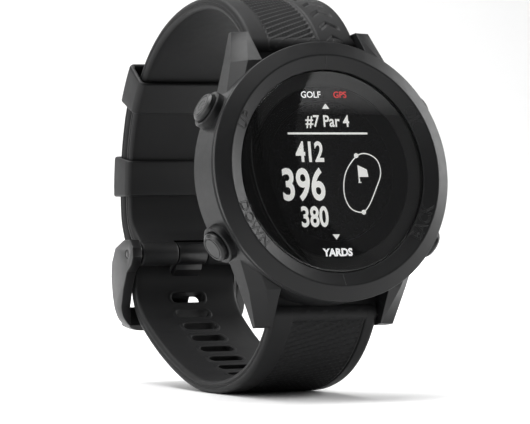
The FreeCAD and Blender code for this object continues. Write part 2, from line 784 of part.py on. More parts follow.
def band(name, path):
    """A strap of constant thickness along a side-view route, with rounded long edges."""
    half = S.strap_thick.value / 2
    owner = body(name)
    sketch = sketch_on(owner, "YZ_Plane")
    left = path.edges(half)
    right = path.edges(-half)
    for curve in left + right:
        sketch.addGeometry(curve, False)
    ends = []
    for distance in (0.0, path.length()):
        (y, z), heading = path.at(distance)
        side = turn_left(heading)
        ends.append((Vector(y + half * side[0], z + half * side[1], 0),
                     Vector(y - half * side[0], z - half * side[1], 0)))
    for one, other in ends:
        sketch.addGeometry(Part.LineSegment(one, other), False)
    pad = owner.newObject("PartDesign::Pad", name + "Pad")
    pad.Profile = sketch
    bind(pad, "Length", S.strap_width)
    pad.Midplane = True
    owner.Tip = pad
    doc.recompute()
    limit = S.strap_width.value / 2 - 1e-4

    def long_edge(edge):
        flat = all(abs(v.Point.x) > limit for v in edge.Vertexes)
        across = edge.BoundBox.XLength > 1.0
        end_edge = edge.Length < S.strap_thick.value + 1e-3 and edge.Curve.TypeId.endswith("Line")
        return flat and not across and not end_edge

    rounded(owner, S.strap_edge.value, long_edge, "Edge")
    return owner


def slot_tool(name, centre, heading, width, height, depth):
    """A flat slot with round ends through a strap, square to the given direction."""
    half = width / 2 - height / 2
    low = -depth / 2
    up = Vector(0, 0, 1)
    outline = Part.Wire([
        Part.makeLine(Vector(-half, -height / 2, low), Vector(half, -height / 2, low)),
        Part.makeCircle(height / 2, Vector(half, 0, low), up, -90, 90),
        Part.makeLine(Vector(half, height / 2, low), Vector(-half, height / 2, low)),
        Part.makeCircle(height / 2, Vector(-half, 0, low), up, 90, 270)])
    feature = solid_feature(name, Part.Face(outline).extrude(up * depth))
    tilt = Rotation(Vector(1, 0, 0), math.degrees(heading))
    feature.Placement = Placement(Vector(0, centre[0], centre[1]), tilt)
    return feature


def knuckle_tools(end):
    """What every strap end leaves free at the lugs: case wall, bar bore and lever notch."""
    into_world = WORLD.inverse().multiply(HEAD)
    y, z = side_view(end * S.bar_reach.value, -S.bar_depth.value)
    case = rod("CaseClear", S.case_radius + 0.25, 30.0,
               into_world.multiply(Placement(Vector(0, 0, -25), Rotation())))
    bore = rod("BarClear", S.bar_radius + S.bar_gap, 30.0, along_x(-15, y, z))
    notch_at = into_world.multiply(Placement(Vector(-7.25, end * S.bar_reach.value,
                                                    -S.bar_depth.value - 6), Rotation()))
    notch = block("LeverNotch", 3.4, 2.2, 6.0, notch_at)
    return [case, bore, notch]


def knuckle_point(end):
    """Middle of a strap's round end at the lugs, a little inside the spring bar."""
    y, z = side_view(end * S.bar_reach.value, -S.bar_depth.value)
    path = upper_path() if end > 0 else lower_strap_path()
    inward = turn_left(path.legs[0][2])
    inset = -end * S.knuckle_inset.value
    return (y + inset * inward[0], z + inset * inward[1])


def strap_cylinder(name, centre, radius, length):
    cylinder = rod(name, radius, length, along_x(-dim(length).value / 2, centre[0], centre[1]))
    ring = doc.addObject("Part::Chamfer", name + "Edge")
    doc.recompute()
    ring.Base = cylinder
    picked = [i for i, e in enumerate(cylinder.Shape.Edges, start=1)
              if e.Curve.TypeId.endswith("Circle")]
    ring.Edges = [(i, 0.3, 0.3) for i in picked]
    doc.recompute()
    return ring


def make_upper_strap():
    """The 12 o'clock strap, with the buckle pin through its far end."""
    path = upper_strap_path()
    end = pin_point_side()
    whole = fuse("UpperWhole", [
        band("UpperBand", path),
        strap_cylinder("UpperKnuckle", knuckle_point(1), S.knuckle_radius, S.strap_width),
        strap_cylinder("UpperEnd", end, S.strap_end_radius, S.strap_width)])
    doc.recompute()
    tools = knuckle_tools(1)
    tools.append(rod("PinClear", S.pin_radius + S.pin_gap, 30.0, along_x(-15, *end)))
    gap = S.tongue_width + 2 * S.hub_gap
    tools.append(rod("HubClear", S.tongue_hub + S.hub_gap, gap,
                     along_x(-gap.value / 2, *end)))
    tools.append(block("HubMouth", gap, 6.0, 5.0,
                       Placement(Vector(0, end[0] - 0.9, end[1] - 5.0), Rotation())))
    keep(cut("UpperStrap", whole, tools), "upper_strap", WORLD)


def tongue_line():
    """Side-view points of the tongue: pin, knee, strap crossing, rest and tip."""
    y, z = pin_point_side()
    return [(y, z), (y + 0.75, z - 2.6), (y + 5.1, z - 6.7), (y + 6.6, z - 9.6),
            (y + 6.6, z - 12.6)]


def make_lower_strap():
    """The 6 o'clock strap: adjusting holes, the tongue's hole and the tail."""
    path = lower_strap_path()
    whole = fuse("LowerWhole", [
        band("LowerBand", path),
        strap_cylinder("LowerKnuckle", knuckle_point(-1), S.knuckle_radius, S.strap_width)])
    doc.recompute()
    tools = knuckle_tools(-1)
    used = tongue_station(path)
    for step in range(-8, 6):
        place = used + step * S.hole_pitch.value
        if step == 0 or place > path.length() - 5.0:
            continue
        centre, heading = path.at(place)
        tools.append(slot_tool("Hole", centre, heading, S.hole_width.value,
                               S.hole_height.value, 4.0))
    knee, crossing = tongue_line()[1:3]
    slope = math.atan2(crossing[1] - knee[1], crossing[0] - knee[0])
    middle = ((knee[0] + crossing[0]) / 2 + 0.35, (knee[1] + crossing[1]) / 2 + 0.1)
    tools.append(slot_tool("TongueHole", middle, slope - math.pi / 2, S.hole_width.value,
                           (S.tongue_thick + S.tongue_slot_room).value, 9.0))
    keep(cut("LowerStrap", whole, tools), "lower_strap", WORLD)


def tongue_station(path):
    """Distance along the lower strap at which the tongue goes through it."""
    target = pin_point_side()[1] - 4.6
    best = min((abs(path.at(s / 10)[0][1] - target), s / 10)
               for s in range(400, int(path.length() * 10)))
    return best[1]


# ---------------------------------------------------------------- keepers and buckle

def sector(name, centre, inner, outer, from_deg, to_deg, width):
    """An arched block between two radii, padded across the strap."""
    owner = body(name)
    sketch = sketch_on(owner, "YZ_Plane")
    low, high = math.radians(from_deg), math.radians(to_deg)
    middle = Vector(centre[0], centre[1], 0)

    def spot(radius, angle):
        return middle + Vector(math.cos(angle), math.sin(angle), 0) * radius

    for radius in (inner, outer):
        circle = Part.Circle(middle, Vector(0, 0, 1), radius)
        sketch.addGeometry(Part.ArcOfCircle(circle, low, high), False)
    for angle in (low, high):
        sketch.addGeometry(Part.LineSegment(spot(inner, angle), spot(outer, angle)), False)
    pad = owner.newObject("PartDesign::Pad", name + "Pad")
    pad.Profile = sketch
    bind(pad, "Length", width)
    pad.Midplane = True
    owner.Tip = pad
    doc.recompute()
    return owner


def make_keeper(name, leg, share):
    """A loop round both straps, concentric with the arc of the strap that it rides on."""
    legs = [item for item in upper_path().legs if item[0] == "arc"]
    _, _, heading, sweep, (centre, radius) = legs[leg]
    angle = math.degrees(heading + share * sweep) + 90
    half_turn = math.degrees(S.keeper_length.value / 2 / radius)
    half = S.strap_thick.value / 2
    low = radius - half - S.keeper_gap.value
    high = radius + half + S.strap_gap.value + S.strap_thick.value + S.keeper_gap.value
    wall = S.keeper_wall.value
    inner_width = S.strap_width + 2 * S.keeper_gap
    outer = sector("Outer_" + name, centre, low - wall, high + wall, angle - half_turn,
                   angle + half_turn, inner_width + 2 * S.keeper_wall)
    rounded(outer, 0.6, lambda e: e.Curve.TypeId.endswith("Circle"), "Edge")
    inner = sector("Inner_" + name, centre, low, high, angle - half_turn - 2,
                   angle + half_turn + 2, inner_width)
    keep(cut("Keeper_" + name, outer, [inner]), name, WORLD)


def buckle_plan(half, y, z):
    """The frame's outline seen square on, with its two lower corners rounded."""
    plan = body("BucklePlan")
    sketch = sketch_on(plan, "XZ_Plane")
    corner = S.buckle_corner.value
    low = z - S.buckle_drop.value
    top = z + 4.0
    sketch.addGeometry(Part.LineSegment(Vector(-half, top, 0), Vector(half, top, 0)), False)
    sketch.addGeometry(Part.LineSegment(Vector(half, top, 0), Vector(half, low + corner, 0)), False)
    for side, from_deg in ((1, -90), (-1, 180)):
        circle = Part.Circle(Vector(side * (half - corner), low + corner, 0), Vector(0, 0, 1),
                             corner)
        start = math.radians(from_deg)
        sketch.addGeometry(Part.ArcOfCircle(circle, start, start + math.pi / 2), False)
    sketch.addGeometry(Part.LineSegment(Vector(corner - half, low, 0),
                                        Vector(half - corner, low, 0)), False)
    sketch.addGeometry(Part.LineSegment(Vector(-half, low + corner, 0), Vector(-half, top, 0)),
                       False)
    pad = plan.newObject("PartDesign::Pad", "BucklePlanPad")
    pad.Profile = sketch
    pad.Length = 2 * (y + 20)
    pad.Midplane = True
    plan.Tip = pad
    doc.recompute()
    return plan


def make_buckle():
    """Frame with two side walls and a crossbar, its pin, and the tongue."""
    y, z = pin_point_side()
    drop = S.buckle_drop.value
    half = S.strap_width / 2 + S.buckle_gap
    side_outline = [(-2.3, 1.2), (-1.0, 2.55), (1.4, 2.45), (5.0, 0.9), (6.4, -1.6), (6.7, -4.2),
                    (6.2, -7.4), (5.1, -10.5), (4.9, -drop), (2.4, -drop), (2.45, -9.4),
                    (1.6, -6.2), (0.2, -3.2), (-1.6, -1.9), (-2.4, -0.4)]
    walls = []
    for side in (-1, 1):
        wall = body("BuckleWall")
        sketch = sketch_on(wall, "YZ_Plane", half if side > 0 else -(half + S.buckle_wall))
        add_polygon(sketch, [(y + a, z + b) for a, b in side_outline])
        pad = wall.newObject("PartDesign::Pad", "BuckleWallPad")
        pad.Profile = sketch
        bind(pad, "Length", S.buckle_wall)
        wall.Tip = pad
        doc.recompute()
        walls.append(wall)
    bar = body("BuckleBar")
    sketch = sketch_on(bar, "YZ_Plane")
    add_polygon(sketch, [(y + 3.9, z - 9.6), (y + 5.0, z - 9.8), (y + 5.9, z - 10.6),
                         (y + 5.9, z + 0.8 - drop), (y + 5.2, z - drop), (y + 3.5, z - drop),
                         (y + 3.0, z - 12.8)])
    pad = bar.newObject("PartDesign::Pad", "BuckleBarPad")
    pad.Profile = sketch
    bind(pad, "Length", half * 2 + 0.2)
    pad.Midplane = True
    bar.Tip = pad
    doc.recompute()
    plan = buckle_plan(half.value + S.buckle_wall.value, y, z)
    whole = doc.addObject("Part::Common", "BuckleWhole")
    whole.Base = fuse("BuckleBlank", walls + [bar])
    whole.Tool = plan
    doc.recompute()
    hole = rod("BucklePinHole", S.pin_radius, 40.0, along_x(-20, y, z))
    keep(cut("BuckleFrame", whole, [hole]), "buckle_frame", WORLD)
    length = (half + S.buckle_wall) * 2 - 0.6
    pin = rod("BucklePin", S.pin_radius, length, WORLD.multiply(along_x(-length.value / 2, y, z)))
    keep(pin, "buckle_pin")

    line = tongue_line()
    thick = S.tongue_thick.value / 2
    upper, lower = [], []
    for i, point in enumerate(line):
        before = line[max(i - 1, 0)]
        after = line[min(i + 1, len(line) - 1)]
        angle = math.atan2(after[1] - before[1], after[0] - before[0])
        upper.append((point[0] - thick * math.sin(angle), point[1] + thick * math.cos(angle)))
        lower.append((point[0] + thick * math.sin(angle), point[1] - thick * math.cos(angle)))
    arm = body("TongueArm")
    sketch = sketch_on(arm, "YZ_Plane")
    add_polygon(sketch, upper + lower[::-1])
    pad = arm.newObject("PartDesign::Pad", "TongueArmPad")
    pad.Profile = sketch
    bind(pad, "Length", S.tongue_width - 0.4)
    pad.Midplane = True
    arm.Tip = pad
    doc.recompute()
    hub = rod("TongueHub", S.tongue_hub, S.tongue_width,
              along_x(-S.tongue_width.value / 2, y, z))
    bore = rod("TongueBore", S.pin_radius + S.pin_gap, 20.0, along_x(-10, y, z))
    keep(cut("Tongue", fuse("TongueBlank", [arm, hub]), [bore]), "buckle_tongue", WORLD)


# ---------------------------------------------------------------- whole watch

def check_all():
    """Stop if any feature failed or any piece is empty or invalid."""
    doc.recompute()
    for obj in doc.Objects:
        if "Invalid" in obj.State or "Error" in obj.State:
            raise RuntimeError("%s (%s) failed: %s" % (obj.Name, obj.Label, obj.State))
    for obj in nodes:
        if obj.Shape.isNull() or not obj.Shape.isValid():
            raise RuntimeError("%s has no valid shape" % obj.Label)


def write_parts():
    os.makedirs("parts", exist_ok=True)
    box = FreeCAD.BoundBox()
    for obj in nodes:
        obj.Shape.exportStep("parts/%s.step" % obj.Label)
        box.add(obj.Shape.optimalBoundingBox())
    print("%d parts, box %s" % (len(nodes), box))


make_front()
make_bezel()
make_case()
make_back()
make_inside()
for button, where in button_places():
    make_button(button, where)
make_spring_bar("upper", 1)
make_spring_bar("lower", -1)
make_upper_strap()
make_lower_strap()
make_keeper("free_keeper", 2, 0.66)
make_keeper("fixed_keeper", 3, 0.55)
make_buckle()
check_all()
write_parts()
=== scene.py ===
import json
import math

import bmesh
import bpy
from bpy.props import FloatProperty, FloatVectorProperty, PointerProperty
from mathutils import Matrix, Vector


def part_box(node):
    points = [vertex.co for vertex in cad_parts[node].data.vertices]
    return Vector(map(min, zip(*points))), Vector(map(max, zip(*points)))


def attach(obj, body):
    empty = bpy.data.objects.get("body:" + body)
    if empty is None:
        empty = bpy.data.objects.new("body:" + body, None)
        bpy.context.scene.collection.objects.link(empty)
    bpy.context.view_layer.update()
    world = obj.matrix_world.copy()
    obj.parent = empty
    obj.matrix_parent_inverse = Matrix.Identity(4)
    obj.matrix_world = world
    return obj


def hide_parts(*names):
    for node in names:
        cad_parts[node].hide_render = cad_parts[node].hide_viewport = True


bl_info = {
    "name": "Golf Watch",
    "version": (1, 0, 0),
    "blender": (4, 5, 0),
    "location": "View3D > Sidebar > Golf Watch",
    "description": "Builds the outside of a golf GPS watch round its engineering model",
    "category": "Object",
}

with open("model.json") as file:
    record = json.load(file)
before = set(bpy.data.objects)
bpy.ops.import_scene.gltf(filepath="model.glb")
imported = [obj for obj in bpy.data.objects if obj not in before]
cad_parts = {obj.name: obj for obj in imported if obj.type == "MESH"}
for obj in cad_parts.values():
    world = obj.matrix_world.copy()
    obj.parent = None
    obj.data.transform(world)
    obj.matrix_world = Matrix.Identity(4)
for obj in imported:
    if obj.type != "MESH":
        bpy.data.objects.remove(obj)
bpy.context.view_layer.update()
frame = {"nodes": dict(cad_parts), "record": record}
MM = 0.001


# ---------------------------------------------------------------- places on the watch

def middle(node):
    low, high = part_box(node)
    return (Vector(low) + Vector(high)) / 2


LEAN = math.radians(10.16)
ACROSS = Vector((1, 0, 0))
UPWARD = Vector((0, math.sin(LEAN), math.cos(LEAN)))
FACING = Vector((0, -math.cos(LEAN), math.sin(LEAN)))
DIAL = middle("display_panel") + FACING * 1.45 * MM
HEAD = Matrix.Translation(DIAL) @ Matrix((ACROSS, UPWARD, FACING)).transposed().to_4x4()
PIN = middle("buckle_pin")


def arc_point(centre, radius, angle):
    return (centre[0] + radius * math.cos(angle), centre[1] + radius * math.sin(angle))


class Route:
    """A side-view line of runs and arcs, in millimetres, as (y, z) points."""

    def __init__(self, start, heading):
        self.points = [start]
        self.heading = math.radians(heading)
        self.arcs = []

    def run(self, length):
        y, z = self.points[-1]
        steps = max(1, round(length / 0.5))
        for i in range(1, steps + 1):
            part = length * i / steps
            self.points.append((y + part * math.cos(self.heading),
                                z + part * math.sin(self.heading)))
        return self

    def arc(self, radius, sweep):
        y, z = self.points[-1]
        side = 1 if sweep > 0 else -1
        out = self.heading + side * math.pi / 2
        centre = (y + radius * math.cos(out), z + radius * math.sin(out))
        first = out + math.pi
        turn = math.radians(sweep)
        steps = max(3, round(abs(turn) * radius / 0.4))
        for i in range(1, steps + 1):
            self.points.append(arc_point(centre, radius, first + turn * i / steps))
        self.arcs.append((centre, radius, self.heading, turn))
        self.heading += turn
        return self


# a strap's curl round its spring bar: radius in millimetres, headings on leaving in degrees
CURL = 0.8
CURL_SWEEP = 75.0
UPPER_HEADING = 50.0
LOWER_HEADING = -65.0


def curl_centre(bar, heading, side):
    ahead = math.radians(heading)
    return (bar[0] - side * CURL * math.sin(ahead), bar[1] + side * CURL * math.cos(ahead))


def curled_start(bar, heading, sweep):
    """A route that curls round a bar's inner side and leaves it at a heading."""
    centre = curl_centre(bar, heading, 1 if sweep > 0 else -1)
    angle = math.atan2(bar[1] - centre[1], bar[0] - centre[0]) - math.radians(sweep)
    return Route(arc_point(centre, CURL, angle), heading - sweep).arc(CURL, sweep)


def side_mm(point):
    return (point.y / MM, point.z / MM)


def upper_route():
    """From the 12 o'clock bar over the top and down to the buckle pin."""
    route = curled_start(side_mm(middle("upper_spring_bar")), UPPER_HEADING, -CURL_SWEEP)
    route.run(0.5).arc(19.0, -50.0).arc(35.0, -28.0).arc(29.0, -48.0).arc(39.0, -20.0)
    route.arc(7.5, -44.0)
    y, z = route.points[-1]
    pin_y, pin_z = side_mm(PIN)
    return route.run(math.hypot(pin_y - y, pin_z - z))


def lower_route():
    """From the 6 o'clock bar under and up past the pin to the tail."""
    route = curled_start(side_mm(middle("lower_spring_bar")), LOWER_HEADING, CURL_SWEEP)
    route.run(0.4).arc(20.5, 43.0).arc(31.4, 39.5).arc(61.0, 17.5).arc(9.3, 53.0)
    route.arc(9.0, -23.26).run(6.21).arc(9.0, 19.25).arc(41.32, 20.0).arc(31.32, 19.0)
    return route


# ---------------------------------------------------------------- node building

class Wire:
    """A node socket that takes part in arithmetic."""

    def __init__(self, graph, socket):
        self.graph = graph
        self.socket = socket

    def math(self, operation, *others):
        node = self.graph.tree.nodes.new("ShaderNodeMath")
        node.operation = operation
        for slot, value in zip(node.inputs, (self,) + others):
            self.graph.feed(slot, value)
        return Wire(self.graph, node.outputs[0])

    def __add__(self, other):
        return self.math("ADD", other)

    def __radd__(self, other):
        return self.math("ADD", other)

    def __sub__(self, other):
        return self.math("SUBTRACT", other)

    def __rsub__(self, other):
        return (self * -1.0).math("ADD", other)

    def __mul__(self, other):
        return self.math("MULTIPLY", other)

    def __rmul__(self, other):
        return self.math("MULTIPLY", other)

    def __truediv__(self, other):
        return self.math("DIVIDE", other)

    def absolute(self):
        return self.math("ABSOLUTE")

    def wave(self, pitch):
        """0 to 1 and back, once in each pitch."""
        return (self / pitch).math("PINGPONG", 0.5) * 2.0

    def step(self, low, high):
        """Smoothly 0 below low and 1 above high, or the other way round."""
        node = self.graph.tree.nodes.new("ShaderNodeMapRange")
        node.interpolation_type = "SMOOTHSTEP"
        turned = low > high
        self.graph.feed(node.inputs["Value"], self)
        node.inputs["From Min"].default_value = min(low, high)
        node.inputs["From Max"].default_value = max(low, high)
        node.inputs["To Min"].default_value = 1.0 if turned else 0.0
        node.inputs["To Max"].default_value = 0.0 if turned else 1.0
        return Wire(self.graph, node.outputs["Result"])


class Graph:
    """A node tree with one method that adds any node."""

    def __init__(self, tree):
        self.tree = tree

    def feed(self, slot, value):
        if isinstance(value, Wire):
            self.tree.links.new(value.socket, slot)
        elif value is not None:
            slot.default_value = value

    def add(self, kind, settings=None, inputs=None, output=0):
        node = self.tree.nodes.new(kind)
        for name, value in (settings or {}).items():
            setattr(node, name, value)
        for name, value in (inputs or {}).items():
            if isinstance(value, list):
                for one in value:
                    self.feed(node.inputs[name], one)
            else:
                self.feed(node.inputs[name], value)
        return Wire(self, node.outputs[output])


# ---------------------------------------------------------------- finishes

def new_finish(name):
    """An empty material, its graph and the object's own coordinates."""
    material = bpy.data.materials.new(name)
    material.use_nodes = True
    material.node_tree.nodes.clear()
    graph = Graph(material.node_tree)
    return material, graph, graph.add("ShaderNodeTexCoord", output=3)


def noise(graph, place, grain_mm, detail=3.0, rough=0.5):
    """Noise whose grains are about grain_mm across."""
    return graph.add("ShaderNodeTexNoise", {"noise_dimensions": "3D"},
                     {"Vector": place, "Scale": 1.0 / (grain_mm * MM), "Detail": detail,
                      "Roughness": rough})


def tone(graph, factor, dark, light):
    """A colour between two, by a factor."""
    return graph.add("ShaderNodeMix", {"data_type": "RGBA"},
                     {0: factor, 6: tuple(dark) + (1,), 7: tuple(light) + (1,)}, output=2)


def finish_surface(graph, inputs):
    shader = graph.add("ShaderNodeBsdfPrincipled", None, inputs)
    output = graph.tree.nodes.new("ShaderNodeOutputMaterial")
    graph.tree.links.new(shader.socket, output.inputs["Surface"])


def moulded(name, colour, roughness=0.5, grain=0.12, depth=0.012, edge=0.12, spread=0.25,
            specular=0.5):
    """Moulded plastic or silicone: fine spark-eroded grain, cloudy tone, softened edges."""
    material, graph, place = new_finish(name)
    fine = noise(graph, place, grain, 2.0)
    cloud = noise(graph, place, 6.0, 3.0)
    smear = noise(graph, place, 1.4, 4.0, 0.65)
    darker = [c * (1 - spread) for c in colour]
    lighter = [c * (1 + spread) for c in colour]
    base = tone(graph, cloud * 0.7 + smear * 0.3, darker, lighter)
    rounded = graph.add("ShaderNodeBevel", {"samples": 4}, {"Radius": edge * MM})
    bump = graph.add("ShaderNodeBump", None, {"Strength": 0.6, "Distance": depth * MM,
                                              "Height": fine, "Normal": rounded})
    finish_surface(graph, {"Base Color": base, "Normal": bump,
                           "Roughness": roughness + (smear - 0.5) * 0.18,
                           "Specular IOR Level": specular})
    return material


def brushed(name, colour, roughness=0.3, grain=0.05, stretch=(0.05, 1.0, 1.0), metallic=1.0):
    """Metal with drawn or brushed lines along one direction."""
    material, graph, place = new_finish(name)
    drawn = graph.add("ShaderNodeMapping", None, {"Vector": place, "Scale": stretch})
    lines = noise(graph, drawn, grain, 2.0)
    stain = noise(graph, place, 2.0, 3.0)
    base = tone(graph, stain, [c * 0.8 for c in colour], [min(1, c * 1.1) for c in colour])
    bump = graph.add("ShaderNodeBump", None,
                     {"Strength": 0.4, "Distance": 0.004 * MM, "Height": lines})
    finish_surface(graph, {"Base Color": base, "Metallic": metallic, "Normal": bump,
                           "Roughness": roughness + (lines - 0.5) * 0.15})
    return material


def circuit_board(name):
    """Solder mask with copper tracks showing through."""
    material, graph, place = new_finish(name)
    cells = graph.add("ShaderNodeTexVoronoi", {"feature": "DISTANCE_TO_EDGE",
                                               "distance": "MANHATTAN"},
                      {"Vector": place, "Scale": 700.0})
    tracks = cells.step(0.09, 0.05)
    base = tone(graph, tracks, (0.004, 0.05, 0.02), (0.02, 0.16, 0.06))
    bump = graph.add("ShaderNodeBump", None,
                     {"Strength": 0.5, "Distance": 0.02 * MM, "Height": tracks})
    finish_surface(graph, {"Base Color": base, "Roughness": 0.35 + tracks * 0.1, "Normal": bump})
    return material


def glass(name):
    """Clear hardened glass: only its reflection shows, with the faintest smear in its gloss."""
    material, graph, place = new_finish(name)
    smear = noise(graph, place, 5.0, 3.0)
    base = tone(graph, smear, (0.9, 0.91, 0.92), (1, 1, 1))
    facing = graph.add("ShaderNodeFresnel", None, {"IOR": 1.5})
    finish_surface(graph, {"Base Color": base, "Metallic": 1.0, "Roughness": 0.02 + smear * 0.03,
                           "Alpha": facing})
    return material


def gloss_black(name, colour, roughness):
    """Screen-printed ink or a dark panel behind glass, with a fine dot texture."""
    material, graph, place = new_finish(name)
    dots = noise(graph, place, 0.2, 1.0)
    base = tone(graph, dots, [c * 0.7 for c in colour], [c * 1.3 for c in colour])
    finish_surface(graph, {"Base Color": base, "Roughness": roughness + dots * 0.02,
                           "Specular IOR Level": 0.15})
    return material


def painted_glow_finish(name, colour, strength):
    """A screen part with painted glow: emission standing in for the light its figures reflect, a
    little uneven from dot to dot.
    """
    material, graph, place = new_finish(name)
    cells = noise(graph, place, 0.35, 1.0)
    painted_glow = tone(graph, cells, [c * 0.9 for c in colour], colour)
    # painted glow: the emission colour and strength stand in for light the screen reflects
    finish_surface(graph, {"Base Color": painted_glow, "Roughness": 0.5 + cells * 0.05,
                           "Emission Color": painted_glow, "Emission Strength": strength})
    return material


def paper(name, colour):
    """The pale studio floor and its backdrop."""
    material, graph, place = new_finish(name)
    fibre = noise(graph, place, 3.0, 4.0)
    base = tone(graph, fibre, [c * 0.99 for c in colour], colour)
    finish_surface(graph, {"Base Color": base, "Roughness": 0.9 + fibre * 0.05})
    return material


INK = (0.004, 0.004, 0.005)
FINISHES = {
    "case_polymer": lambda n, s: moulded(n, s.case_colour, 0.42, 0.1, 0.012, 0.16, specular=0.3),
    "bezel_polymer": lambda n, s: moulded(n, s.bezel_colour, 0.42, 0.09, 0.01, 0.1, specular=0.3),
    "cover_polymer": lambda n, s: moulded(n, s.case_colour, 0.45, 0.15, 0.02, specular=0.35),
    "button_polymer": lambda n, s: moulded(n, s.bezel_colour, 0.36, 0.08, 0.008, 0.14,
                                           specular=0.4),
    "lens_glass": lambda n, s: glass(n),
    "lens_black": lambda n, s: gloss_black(n, INK, 0.3),
    "display": lambda n, s: gloss_black(n, INK, 0.25),
    "light_guide": lambda n, s: moulded(n, (0.7, 0.72, 0.72), 0.25),
    "inner_frame": lambda n, s: moulded(n, (0.03, 0.03, 0.032), 0.55),
    "circuit_board": lambda n, s: circuit_board(n),
    "shield_metal": lambda n, s: brushed(n, (0.6, 0.6, 0.58), 0.35),
    "chip_black": lambda n, s: moulded(n, (0.015, 0.015, 0.016), 0.5),
    "antenna_ceramic": lambda n, s: moulded(n, (0.55, 0.45, 0.33), 0.4, 0.2),
    "battery_foil": lambda n, s: brushed(n, (0.62, 0.63, 0.65), 0.3, 0.3),
    "seal_rubber": lambda n, s: moulded(n, (0.02, 0.02, 0.02), 0.7, 0.1),
    "steel": lambda n, s: brushed(n, (0.55, 0.55, 0.56), 0.25),
    "contact_block": lambda n, s: moulded(n, (0.012, 0.012, 0.013), 0.45),
    "contact_metal": lambda n, s: brushed(n, (0.83, 0.62, 0.28), 0.2),
    "strap_silicone": lambda n, s: moulded(n, s.strap_colour, 0.54, 0.07, 0.006, 0.1, 0.2, 0.25),
    "keeper_silicone": lambda n, s: moulded(n, s.strap_colour, 0.5, 0.07, 0.006, 0.1, 0.2, 0.3),
    "buckle_metal": lambda n, s: moulded(n, s.buckle_colour, 0.34, 0.06, 0.004, 0.15, 0.15, 0.6),
}
made_finishes = {}


def finish(slot, sizes):
    if slot not in made_finishes:
        made_finishes[slot] = FINISHES[slot](slot, sizes)
    return made_finishes[slot]


# ---------------------------------------------------------------- mesh helpers

def prism_faces(count):
    """Two caps and the sides between two like rings of points."""
    faces = [tuple(range(count))[::-1], tuple(range(count, 2 * count))]
    for i in range(count):
        n = (i + 1) % count
        faces.append((i, n, n + count, i + count))
    return faces


def loop_faces(count, size, base=0):
    """The skin of a closed tube made of count rings with size points each."""
    faces = []
    for i in range(count):
        one, two = base + i * size, base + (i + 1) % count * size
        for k in range(size):
            n = (k + 1) % size
            faces.append((one + k, two + k, two + n, one + n))
    return faces


def add_object(name, data):
    obj = bpy.data.objects.new(name, data)
    bpy.context.scene.collection.objects.link(obj)
    return obj


def mesh_object(name, points, faces, smooth=True):
    mesh = bpy.data.meshes.new(name)
    mesh.from_pydata([tuple(p) for p in points], [], faces)
    mesh.validate()
    shell = bmesh.new()
    shell.from_mesh(mesh)
    bmesh.ops.remove_doubles(shell, verts=shell.verts, dist=1e-7)
    bmesh.ops.recalc_face_normals(shell, faces=shell.faces)
    shell.to_mesh(mesh)
    shell.free()
    mesh.polygons.foreach_set("use_smooth", [smooth] * len(mesh.polygons))
    return add_object(name, mesh)


def baked(obj):
    """Turn an object's live modifiers into a plain mesh and drop them."""
    bpy.context.view_layer.update()
    graph = bpy.context.evaluated_depsgraph_get()
    mesh = bpy.data.meshes.new_from_object(obj.evaluated_get(graph))
    obj.modifiers.clear()
    if obj.type == "MESH":
        obj.data = mesh
        return obj
    fresh = add_object(obj.name + "_mesh", mesh)
    bpy.data.objects.remove(obj)
    return fresh


def soften(obj, angle=35.0):
    """Shade smooth except across sharp corners."""
    mesh = obj.data
    mesh.polygons.foreach_set("use_smooth", [True] * len(mesh.polygons))
    mesh.set_sharp_from_angle(angle=math.radians(angle))
    return obj


def bevelled(obj, width, segments=3, angle=28.0):
    bevel = obj.modifiers.new("Bevel", "BEVEL")
    bevel.width = width * MM
    bevel.segments = segments
    bevel.limit_method = "ANGLE"
    bevel.angle_limit = math.radians(angle)
    bevel.harden_normals = False
    return baked(obj)


def clean_copy(node, name):
    """A merged copy of an engineering node's mesh, with its flat faces joined."""
    mesh = frame["nodes"][node].data.copy()
    mesh.materials.clear()
    shell = bmesh.new()
    shell.from_mesh(mesh)
    bmesh.ops.remove_doubles(shell, verts=shell.verts, dist=1e-6)
    bmesh.ops.dissolve_limit(shell, angle_limit=math.radians(0.5), verts=shell.verts,
                             edges=shell.edges)
    shell.to_mesh(mesh)
    shell.free()
    return add_object(name, mesh)


def dial_spot(radius, turn, height):
    """A point round the dial's axis, from millimetres in the head's frame."""
    return HEAD @ (Vector((radius * math.cos(turn), radius * math.sin(turn), height)) * MM)


def lathe(name, profile, steps=192):
    """A ring turned about the dial's axis from (radius, height) points in millimetres."""
    points = []
    for i in range(steps):
        turn = 2 * math.pi * i / steps
        points += [dial_spot(radius, turn, height) for radius, height in profile]
    return mesh_object(name, points, loop_faces(steps, len(profile)))


def place_piece(obj, body, slot, sizes, replaces=()):
    """Give a finished piece its material and its body, and hide the nodes that it stands for."""
    if slot:
        obj.data.materials.clear()
        obj.data.materials.append(finish(slot, sizes))
    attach(obj, body)
    if replaces:
        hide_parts(*replaces)
    return obj


# ---------------------------------------------------------------- strap by nodes

# the profile's side that faces away from the wrist on the upper strap
OUTER_SIDE = -1
# adjusting holes, in millimetres
HOLE_WIDTH = 6.5
HOLE_HEIGHT = 2.0
HOLE_PITCH = 3.9
HOLES_BEFORE_TONGUE = 8
# round the lugs, in millimetres: case wall, bores for the spring bars, half length of a cutter
CASE_REACH = 21.58
BAR_BORE = 0.95
CUTTER_HALF = 12.0
# the strap's round end at a lug, and the block behind it in the head's frame, in millimetres
KNUCKLE_RADIUS = 1.85
KNUCKLE_HALF = 9.97
ROOT_BLOCK = ((-9.9, 19.2, -10.4), (9.9, 22.9, -7.4))
# the strap's round end at the buckle pin, in millimetres
PIN_END_RADIUS = 2.15
PIN_BORE = 0.85


def tree_socket(tree, name, kind, default=None, direction="INPUT"):
    socket = tree.interface.new_socket(name=name, in_out=direction, socket_type=kind)
    if default is not None:
        socket.default_value = default
    return socket


